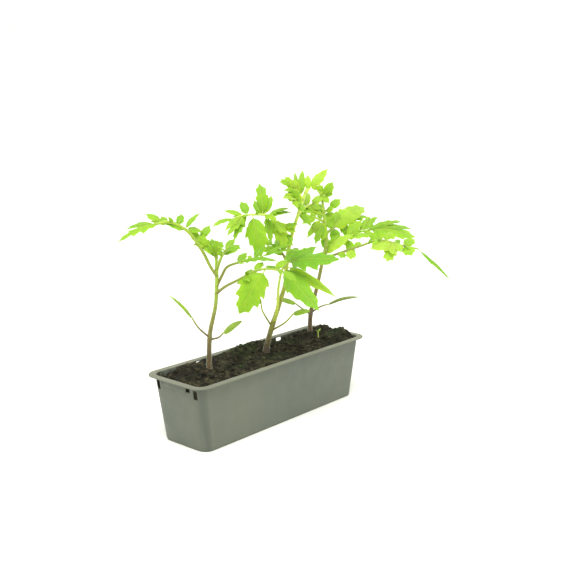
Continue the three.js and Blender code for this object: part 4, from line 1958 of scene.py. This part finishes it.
def seed_of(name: str) -> int:
    """Returns a fixed seed for a piece."""
    return sum((place + 1) * ord(letter) for place, letter in enumerate(name))


def build_leaf(stem: Stem, name: str, plan: LeafPlan, finishes: Sequence[Material]) -> Object:
    """Makes a compound leaf.

    Args:
        stem: The stem that it grows on.
        name: Its CAD node's name.
        plan: Its sizes.
        finishes: The blade's, the rib's and the hairs' materials.

    Returns:
        The leaf's object.
    """
    rng = np.random.default_rng(seed_of(name))
    frond = Frond(stem, name, plan, rib_tip=plan.rib_tip, rib_age=plan.rib_age)
    draft, age = Draft(), 1.0 - plan.height / OLDEST_HEIGHT
    for leaflet in (Leaflet(*row) for row in plan.leaflets):
        base, tip = frond.rib.at(leaflet.at)[0], frond.spot(leaflet.out, leaflet.left, leaflet.up)
        length = float(np.linalg.norm(tip - base))
        is_small = length < SMALL_BLADE or leaflet.width < NARROW_BLADE
        cut = BladeCut(notch=max(leaflet.notch, SMOOTH_NOTCH if is_small else 0.0), arch=leaflet.arch)
        sizes = (leaflet.width, teeth_for(length), leaflet.tilt)
        Blade(base, tip, *sizes, cut, rng, age, leaflet.shade).add_to(draft)
    tiny = int(frond.rib.length / TINY_EVERY) if plan.small is None else plan.small
    for _ in range(tiny):
        add_tiny_leaflet(draft, frond, rng, age)
    frond.add_rib(draft, rng, LEAF_HAIRS)
    return frond.finish_piece(draft, finishes)


def add_tiny_leaflet(draft: Draft, frond: Frond, rng: np.random.Generator, age: float) -> None:
    """Adds one of the tiny leaflets that grow between the main ones on a long rib.

    Args:
        draft: The piece that it goes to.
        frond: The leaf.
        rng: The random draw.
        age: The leaf's age value.
    """
    place = rng.uniform(*TINY_PLACES)
    base, along = frond.rib.at(place)[0], frond.rib.along(place)[0]
    side = frond.left * rng.choice((-1, 1))
    length = rng.uniform(*TINY_LENGTHS)
    ahead, rise = rng.uniform(*TINY_ALONG), rng.uniform(*TINY_RISE)
    tip = base + unit(along * ahead + side + UP * rise) * length
    Blade(base, tip, length * TINY_WIDTH, 2, rng.uniform(*TINY_TILTS), BladeCut(), rng, age).add_to(draft)


def build_seed_leaf(stem: Stem, name: str, plan: SeedLeafPlan, finishes: Sequence[Material]) -> Object:
    """Makes a seed leaf.

    Args:
        stem: The stem that it grows on.
        name: Its CAD node's name.
        plan: Its sizes.
        finishes: The blade's, the rib's and the hairs' materials.

    Returns:
        The seed leaf's object.
    """
    rng = np.random.default_rng(seed_of(name))
    frond = Frond(stem, name, plan, Slot.SEED_LEAF, rib_foot=1.25, rib_tip=1.0)
    draft = Draft()
    cut = BladeCut(stalk=0.02, stalk_half=1.0, quilt=0.0, fold=0.3, thickness=0.6, edge_thickness=0.3)
    tip = frond.spot(plan.tip[0], 0.0, plan.tip[1])
    Blade(frond.rib.at(1.0)[0], tip, plan.width, 0, 40, cut, rng, 0.6, plan.shade).add_to(draft)
    frond.add_rib(draft, rng, SEED_LEAF_HAIRS)
    return frond.finish_piece(draft, finishes)


# ---------------------------------------------------------------- plants

LEAVES: dict[Plant, tuple[LeafPlan, ...]] = {
    Plant.LEFT: (
        LeafPlan(94, -66, ((12, 9), (25, 16), (45, 27), (59, 31), (78, 30)), (
            (1.0, 96, -4, 20, 10, 30), (0.78, 30, -8, -20, 33, 80, -0.1, 0.64), (0.62, 50, 20, 35, 8, 30),
            (0.9, 79, 16, 40, 8, 30), (0.47, 45, -14, 19, 8, 30),
        ), rib_age=0.38),
        LeafPlan(102, -34, ((6, 11), (12, 21), (26, 26), (41, 29), (53, 31)), (
            (1.0, 91, -4, 45, 10, 12, 1.0), (0.61, 68, -20, 28, 11, 22, 0.5),
            (0.85, 60, 13, 43, 9, 25, 0.6), (0.56, 40, 20, 34, 9, 20, 0.4),
            (0.97, 103, -10, 38, 8, 10, 1.0, 0.86),
        ), rib_age=0.38),
        LeafPlan(114, 152, ((6, 9), (17, 31), (34, 54), (54, 64), (73, 61)), (
            (0.9, 111, 4, 45, 15, 24, -0.1, 0.5), (0.94, 100, -6, 57, 10, 30, 0.0),
            (0.88, 76, -12, 73, 9, 35, 0.1), (0.82, 59, -13, 69, 6, 30, 0.3),
            (0.77, 55, 10, 71, 5, 30, 0.3), (0.7, 36, -10, 71, 9, 45, 0.3),
            (0.62, 13, -14, 71, 6, 30, 0.3), (0.6, 12, -10, 50, 10, 45, 0.3),
            (0.6, 63, -6, 65, 8, 50, 0.0, 0.86), (0.79, 72, -6, 65, 7, 50, 0.0, 0.86),
        ), small=1, rib_age=0.5, rib_tip=1.8),
        LeafPlan(121, -105, ((11, 15), (18, 22), (27, 29)), (
            (1.0, 44, 6, 29, 10, 40, 0.3), (0.8, 16, 16, 36, 8, 40, 0.4), (0.75, 28, -13, 31, 8, 40, 0.2),
            (0.6, 24, 15, 24, 7, 30),
        )),
        LeafPlan(134, 118, ((3, 8), (8, 12), (15, 18), (21, 24)), (
            (1.0, 31, 4, 35, 9, 45), (0.88, 10, -10, 36, 10, 50, 0.4), (0.58, 22, 14, 17, 9, 40),
            (0.35, 28, 7, 30, 16, 62, 0.1), (0.34, -4, -13, 17, 11, 45, 0.4), (0.25, 10, 14, 11, 10, 50),
            (0.2, 8, -8, 21, 13, 60, 0.4), (0.17, -6, -10, 6, 8, 50, 0.3), (0.03, -5, 9, 22, 9, 78, 0.1),
            (0.03, 6, 10, 18, 9, 75, 0.3), (0.16, -9, 8, 13, 8, 60, 0.2),
        )),
    ),
    Plant.MIDDLE: (
        LeafPlan(38, -112, ((7, 10), (12, 24), (15, 47), (25, 69), (39, 79)), (
            (1.0, 100, 34, 90, 31, 42, 0.3), (0.85, 100, 8, 34, 25, 70, -0.4, 0.86),
            (0.93, 80, 42, 42, 11, 78, -1.2, 0.9), (0.94, 8, 30, 91, 13, 45, 0.9),
            (0.97, 53, 32, 98, 14, 45, 0.9), (0.8, 22, -22, 74, 8, 30, 0.3),
        ), small=0),
        LeafPlan(112, 70, ((7, 6), (20, 12), (35, 15)), (
            (1.0, 69, 2, 17, 12, 45, 0.6), (0.76, 55, -20, 21, 10, 50, 0.4),
            (0.53, 19, -18, 26, 9, 50, 0.2), (0.88, 38, 14, 8, 10, 40, 0.4), (0.35, 8, 12, 10, 6, 50),
        ), rib_age=0.3),
        LeafPlan(137, 152, ((13, 13), (22, 26), (28, 32), (38, 34), (59, 34), (70, 31)), (
            (1.0, 98, 4, 23, 9, 25), (0.86, 78, -16, 39, 9, 30, 0.2), (0.8, 57, -14, 49, 11, 50, 0.3),
            (0.58, 35, -10, 70, 17, 80, 0.2), (0.56, 19, -12, 55, 9, 75, 0.4),
            (0.6, 43, -8, 51, 8, 75, 0.3), (0.73, 42, 14, -14, 24, 80, 0.1, 0.8),
            (0.86, 87, 18, 19, 9, 30), (0.82, 77, 20, 7, 11, 40), (0.49, -10, -16, 32, 10, 30, 0.5),
            (0.51, -4, -10, 39, 8, 20, 0.7), (0.47, 10, 14, -4, 18, 70, -0.6),
            (0.35, -3, 12, 13, 12, 50, 0.1), (0.53, 30, 16, 1, 11, 60, 0.2),
            (0.8, 86, 22, 14, 11, 45, 0.1), (0.42, 12, 18, 13, 15, 55, -0.4),
            (0.23, -4, 16, 23, 10, 40, 0.6), (0.19, 2, 12, -3, 12, 60, 0.3),
            (0.55, 28, 30, 29, 9, 40, 0.2),
        )),
        LeafPlan(172, 10, ((16, 5), (33, 7)), (
            (1.0, 62, 4, 13, 10, 45), (0.65, 47, 14, 19, 8, 50, 0.2), (0.49, 34, -12, -3, 12, 30, 0.6),
            (0.1, 34, -14, -9, 6, 30, 0.7), (0.7, 30, -16, 2, 8, 40, 0.3), (0.57, 30, 14, 15, 9, 50),
            (0.65, 30, -16, -5, 10, 35, 0.5), (0.0, 14, -10, -18, 8, 45, 0.6),
            (0.0, 13, -2, -13, 6, 60, 0.1), (0.8, 8, 4, -5, 9, 50),
        )),
        LeafPlan(178, -165, ((10, 7), (21, 12)), (
            (1.0, 46, 0, 15, 8, 50), (0.75, 34, 12, 3, 8, 50, 0.4), (0.75, 26, -8, 19, 6, 50),
            (0.4, 22, 14, -3, 10, 40, 0.3), (0.62, 24, -7, 16, 7, 60), (0.75, 16, 3, 23, 9, 60, -0.2),
        )),
        LeafPlan(187, 150, ((8, 11), (15, 18)), (
            (1.0, 31, 4, 23, 7, 60, 0.7), (0.94, 21, -6, 28, 7, 70, -0.4), (0.47, 6, -12, 33, 6, 75, 1.0),
            (0.21, -5, -14, 35, 9, 75, 0.6, 0.86), (0.57, 28, 10, 13, 6, 60, 0.6),
            (0.4, 30, 14, 5, 8, 50, 0.8), (0.2, 13, 14, -5, 7, 50), (0.63, 16, 2, 25, 11, 70, -0.8),
            (0.53, 12, -14, 24, 7, 70, 0.5), (0.7, 25, -10, 25, 8, 60, 0.6),
            (0.3, 23, 14, 0, 8, 50, -0.5), (0.35, 8, -4, 24, 8, 65, -0.6),
        )),
        LeafPlan(194, -30, ((3, 3), (6, 6)), (
            (1.0, 29, 0, 29, 11, 75, -1.0, 0.88), (0.6, 7, 8, 22, 8, 60, -0.4),
        )),
    ),
    Plant.RIGHT: (
        LeafPlan(106, -58, ((10, 4), (26, 10), (45, 17), (74, 26), (101, 20), (121, 16)), (
            (1.0, 164, 0, -24, 8, 18, 0.3, 0.62, 0.02), (0.74, 83, -14, 1, 19, 70, -0.6),
            (0.64, 63, -14, 18, 13, 60, -0.2), (0.75, 101, -14, 14, 14, 50, -0.5),
            (0.86, 114, -16, 10, 16, 60, -0.6, 0.85), (0.85, 117, 14, 26, 13, 30, 0.1, 0.85),
            (0.31, 37, -14, 3, 13, 62, -0.4, 0.86), (0.23, 24, -14, 4, 10, 60, -0.3),
            (0.66, 87, 22, 34, 12, 40), (0.36, 46, 18, 21, 9, 30),
            (0.79, 62, -16, 17, 15, 45, -0.7, 0.85), (0.67, 95, -16, 10, 13, 55, -0.6, 0.85),
        ), rib_age=0.4),
        LeafPlan(111, -22, ((14, 12), (33, 20), (48, 26), (66, 28)), (
            (1.0, 138, -8, 15, 28, 40, -0.1), (0.98, 140, 4, 25, 16, 40, 0.1),
            (0.95, 126, 8, 36, 12, 40, 0.6), (0.89, 92, 16, 43, 10, 40, 0.6),
            (0.54, 62, 8, 41, 16, 50, 0.1), (0.85, 82, 20, 44, 9, 30, 0.3),
            (0.89, 83, -16, 14, 14, 50, -0.3), (0.0, 39, -12, 27, 13, 45, -1.0, 0.9),
            (0.53, 37, -14, -2, 13, 60, -0.3), (0.51, 63, -14, 24, 11, 40, -0.5),
            (0.12, 4, 12, 23, 11, 50, 0.1), (0.17, 20, -2, 26, 12, 55),
        )),
        LeafPlan(139, 12, ((20, 5), (41, 8), (63, 10)), (
            (0.2, 105, -6, 24, 27, 62, -0.3, 0.74), (0.33, 40, 5, 25, 17, 60, 0.4),
            (0.23, 20, 6, 23, 13, 60, 0.2), (0.9, 72, -3, 24, 12, 60, 0.5),
            (0.56, 56, -11, -9, 16, 55, 0.1), (0.9, 84, -16, -3, 14, 45, 0.3),
            (1.0, 98, -16, 12, 11, 40, 0.4), (0.33, 20, -5, -10, 14, 60),
        )),
        LeafPlan(154, 140, ((8, 4), (17, 8)), (
            (1.0, 32, 0, 8, 9, 40, 0.2), (0.68, 20, -10, 19, 9, 40, 0.3), (0.68, 32, 12, 0, 10, 50, 0.1),
            (0.37, 19, 12, -11, 11, 60), (0.21, 13, 6, -27, 11, 70, 0.2), (0.3, 7, -10, 16, 8, 50),
            (0.3, 26, 14, -18, 10, 60, 0.3), (0.16, -12, -7, 12, 10, 60, 0.1),
            (0.12, -12, -1, -6, 11, 60, 0.2), (0.19, 16, 18, -26, 12, 65, 0.2),
            (0.12, 6, 11, -23, 12, 65),
        )),
        LeafPlan(167, -40, ((4, 2), (7, 4)), (
            (1.0, 22, 0, 17, 11, 65, 0.2), (0.3, -8, 18, 8, 10, 60, 0.1), (0.3, 12, -7, 7, 8, 60),
        )),
        LeafPlan(182, -110, ((3, 4), (6, 8)), (
            (1.0, 11, 9, 24, 12, 80, 0.3, 0.85), (0.7, 6, 12, 12, 8, 60, 0.3),
        )),
        LeafPlan(188, 150, ((3, 4), (6, 7)), (
            (1.0, 16, 0, 19, 9, 60, -0.1), (0.45, 3, 0, 15, 8, 60), (0.2, -6, 4, 9, 8, 60),
            (0.2, 12, 1, -12, 10, 55), (0.2, -6, 11, -9, 9, 55),
        )),
    ),
}

SEED_LEAVES: dict[Plant, tuple[SeedLeafPlan, ...]] = {
    Plant.LEFT: (
        SeedLeafPlan(42, 148, ((13, 13), (20, 25)), (44, 52), 4.0, -0.3),
        SeedLeafPlan(40, -62, ((11, 3), (17, 9)), (39, 24), 9.0),
    ),
    Plant.MIDDLE: (
        SeedLeafPlan(32, 140, ((12, 22), (13, 30)), (20, 41), 6.5, 0.0),
        SeedLeafPlan(27, -52, ((18, 11), (28, 22)), (48, 26), 8.5),
    ),
    Plant.RIGHT: (
        SeedLeafPlan(35, -58, ((14, 9), (23, 12)), (62, 23), 5.0, 1.0),
        SeedLeafPlan(33, 124, ((12, 8), (20, 14)), (46, 20), 8.0),
    ),
}

STEMS: tuple[Stem, ...] = (
    Stem(
        Plant.LEFT, (-80, 12, 70),
        ((0, 0), (2, 47), (9, 80), (11, 110), (11, 133), (12, 146)), (41, 94, 102, 114, 121),
    ),
    Stem(
        Plant.MIDDLE, (11, 6.5, 76),
        ((0, 0), (7, 30), (16, 58), (24, 86), (27, 120), (34, 151), (45, 185), (50, 201)),
        (30, 38, 112, 137, 172), foot_radius=3.4,
    ),
    Stem(
        Plant.RIGHT, (106, 15, 72),
        ((0, 0), (1, 35), (8, 65), (17, 108), (21, 131), (18, 162), (14, 195)),
        (34, 106, 111, 139, 154),
    ),
)


@dataclass
class Sprout:
    """A tiny seedling that comes up beside the right plant."""

    peat: Peat
    foot: Pair = (97.0, -6.0)
    height: float = 8.0
    radius: float = 0.8
    depth: float = 5.0
    blade: float = 6.0
    bend: float = 0.5
    hair_span: Pair = (0.45, 0.95)
    hair_lengths: Pair = (0.4, 0.7)
    blade_reach: Pair = (0.8, 0.7)
    seed: int = 3

    def build(self, finishes: Sequence[Material]) -> Object:
        """Makes the piece.

        Args:
            finishes: The blade's, the stalk's and the hairs' materials.

        Returns:
            The seedling's object.
        """
        rng = np.random.default_rng(self.seed)
        x, y = self.foot
        ground = float(self.peat.base_height(np.array([x]), np.array([y]))[0])
        low = np.array((x, y, ground - self.depth))
        top = np.array((x, y, ground + self.height - 1))
        draft = Draft()
        course = Course([low, (low + top) / 2 + (self.bend, 0.0, 0.0), top])

        def radius(places: Array) -> Array:
            """Returns the stalk's radius at places along it."""
            return self.radius * (1 - 0.25 * places)

        add_tube(draft, course, radius, 10, 8, finish=1, age=0.9)
        add_hairs(draft, course, radius, rng, 5.0, self.hair_span, self.hair_lengths, 2)
        cut = BladeCut(stalk=0.2, stalk_half=0.4, quilt=0.0, arch=0.14)
        out, up = self.blade_reach
        for side in (-1, 1):
            tip = top + np.array((side * self.blade * out, 0.0, self.blade * up))
            Blade(top, tip, self.blade / 2, 0, 0.0, cut, rng, 0.3, 0.45).add_to(draft)
        return draft.piece("peat_seedling", finishes, Slot.SEED_LEAF, "sprout")


# ---------------------------------------------------------------- studio


@dataclass(frozen=True)
class Studio:
    """A pale floor, soft light and the camera at the photograph's angle."""

    eye: Triple = (-732.88, -679.94, 366.69)
    back: Triple = (-0.73642, -0.64578, 0.20163)
    right: Triple = (0.65867, -0.75242, -0.00420)
    up: Triple = (0.15442, 0.12971, 0.97945)
    focal_pixels: float = 854.25
    frame_pixels: float = 573.0
    sensor: float = 36.0
    floor_half: float = 12.0
    lamp_place: Triple = (-0.85, -0.75, 2.0)
    lamp_power: float = 2.4
    lamp_spread: float = 40.0
    lamp_colour: Colour = (1.0, 1.0, 0.96)
    sky: tuple[float, ...] = (1.04, 1.04, 1.0, 1.0)

    def camera(self) -> None:
        """Sets up the camera."""
        data = bpy.data.cameras.new("camera")
        data.sensor_width = self.sensor
        data.lens = self.focal_pixels / self.frame_pixels * self.sensor
        camera = placed("camera", data)
        camera.matrix_world = standing(self.right, self.up, self.back, [value * MM for value in self.eye])
        bpy.context.scene.camera = camera

    def floor(self) -> None:
        """Lays the floor."""
        mesh = bpy.data.meshes.new("floor")
        half = self.floor_half
        corners = [(-half, -half, 0), (half, -half, 0), (half, half, 0), (-half, half, 0)]
        mesh.from_pydata(corners, [], [(0, 1, 2, 3)])
        mesh.materials.append(PaleFloor().make())
        floor = placed("floor", mesh)

    def lamp(self) -> None:
        """Hangs a far, wide and soft lamp over the camera, which lights the floor evenly."""
        data = bpy.data.lights.new("key", "SUN")
        data.energy, data.color = self.lamp_power, self.lamp_colour
        data.angle = math.radians(self.lamp_spread)
        back = unit(np.array(self.lamp_place))
        right = unit(np.cross(UP + (0.001, 0.0, 0.0), back))
        placed("key", data).matrix_world = standing(right, np.cross(back, right), back, self.lamp_place)

    def sky_light(self) -> None:
        """Lights the scene evenly from all round."""
        world = bpy.data.worlds.new("studio")
        world.use_nodes = True
        background = world.node_tree.nodes["Background"]
        background.inputs["Color"].default_value = self.sky
        background.inputs["Strength"].default_value = 1.0
        bpy.context.scene.world = world
        bpy.context.scene.view_settings.view_transform = "Standard"

    def build(self) -> None:
        """Sets the whole studio."""
        self.camera()
        self.floor()
        self.sky_light()
        self.lamp()
        LOG.info("studio: camera, floor, sky light and lamp")


# ---------------------------------------------------------------- main

GROWN_SKIN = StemSkin("stem_green", (
    (0.0, srgb(76, 60, 42)), (0.1, srgb(108, 98, 44)), (0.24, srgb(142, 152, 44)),
    (0.5, srgb(174, 186, 52)), (0.75, srgb(198, 220, 78)), (1.0, srgb(204, 230, 104)),
))
DARK_SKIN = StemSkin("stem_green_dark", (
    (0.0, srgb(84, 66, 46)), (0.25, srgb(108, 94, 50)), (0.46, srgb(134, 138, 52)),
    (0.66, srgb(150, 178, 46)), (1.0, srgb(172, 208, 60)),
))
LEAF_BLADE = LeafBlade(
    "leaf_green", young=srgb(158, 192, 16), grown=srgb(114, 164, 12), dark=srgb(94, 148, 8),
    vein=srgb(162, 188, 50), back=srgb(158, 192, 50),
)
SEED_BLADE = LeafBlade(
    "seed_leaf_green", young=srgb(158, 194, 40), grown=srgb(142, 180, 44), dark=srgb(86, 94, 46),
    vein=srgb(158, 184, 72), back=srgb(150, 178, 70), net=0.4,
)


def main() -> None:
    """Builds the trough, the peat, the plants and the studio."""
    logging.basicConfig(level=logging.INFO, format="%(name)s: %(message)s")
    hair = Hair().make()
    skins = {
        Plant.LEFT: DARK_SKIN.make(), Plant.MIDDLE: GROWN_SKIN.make(), Plant.RIGHT: DARK_SKIN.make(),
    }
    blade, seed_blade = LEAF_BLADE.make(), SEED_BLADE.make()
    trough = Trough()
    trough.build(TroughPlastic().make())
    peat = Peat(trough)
    peat.build([PeatCrumb().make(), PeatFibre().make()])
    for stem in STEMS:
        plant, skin = stem.plant.value, skins[stem.plant]
        stem.build([skin, hair])
        for number, plan in enumerate(LEAVES[stem.plant], 1):
            build_leaf(stem, f"{plant}_leaf_{number}", plan, [blade, skin, hair])
        for number, plan in enumerate(SEED_LEAVES[stem.plant], 1):
            build_seed_leaf(stem, f"{plant}_seed_leaf_{number}", plan, [seed_blade, skin, hair])
    Sprout(peat).build([seed_blade, skins[Plant.MIDDLE], hair])
    Studio().build()


if __name__ == "__main__":
    main()
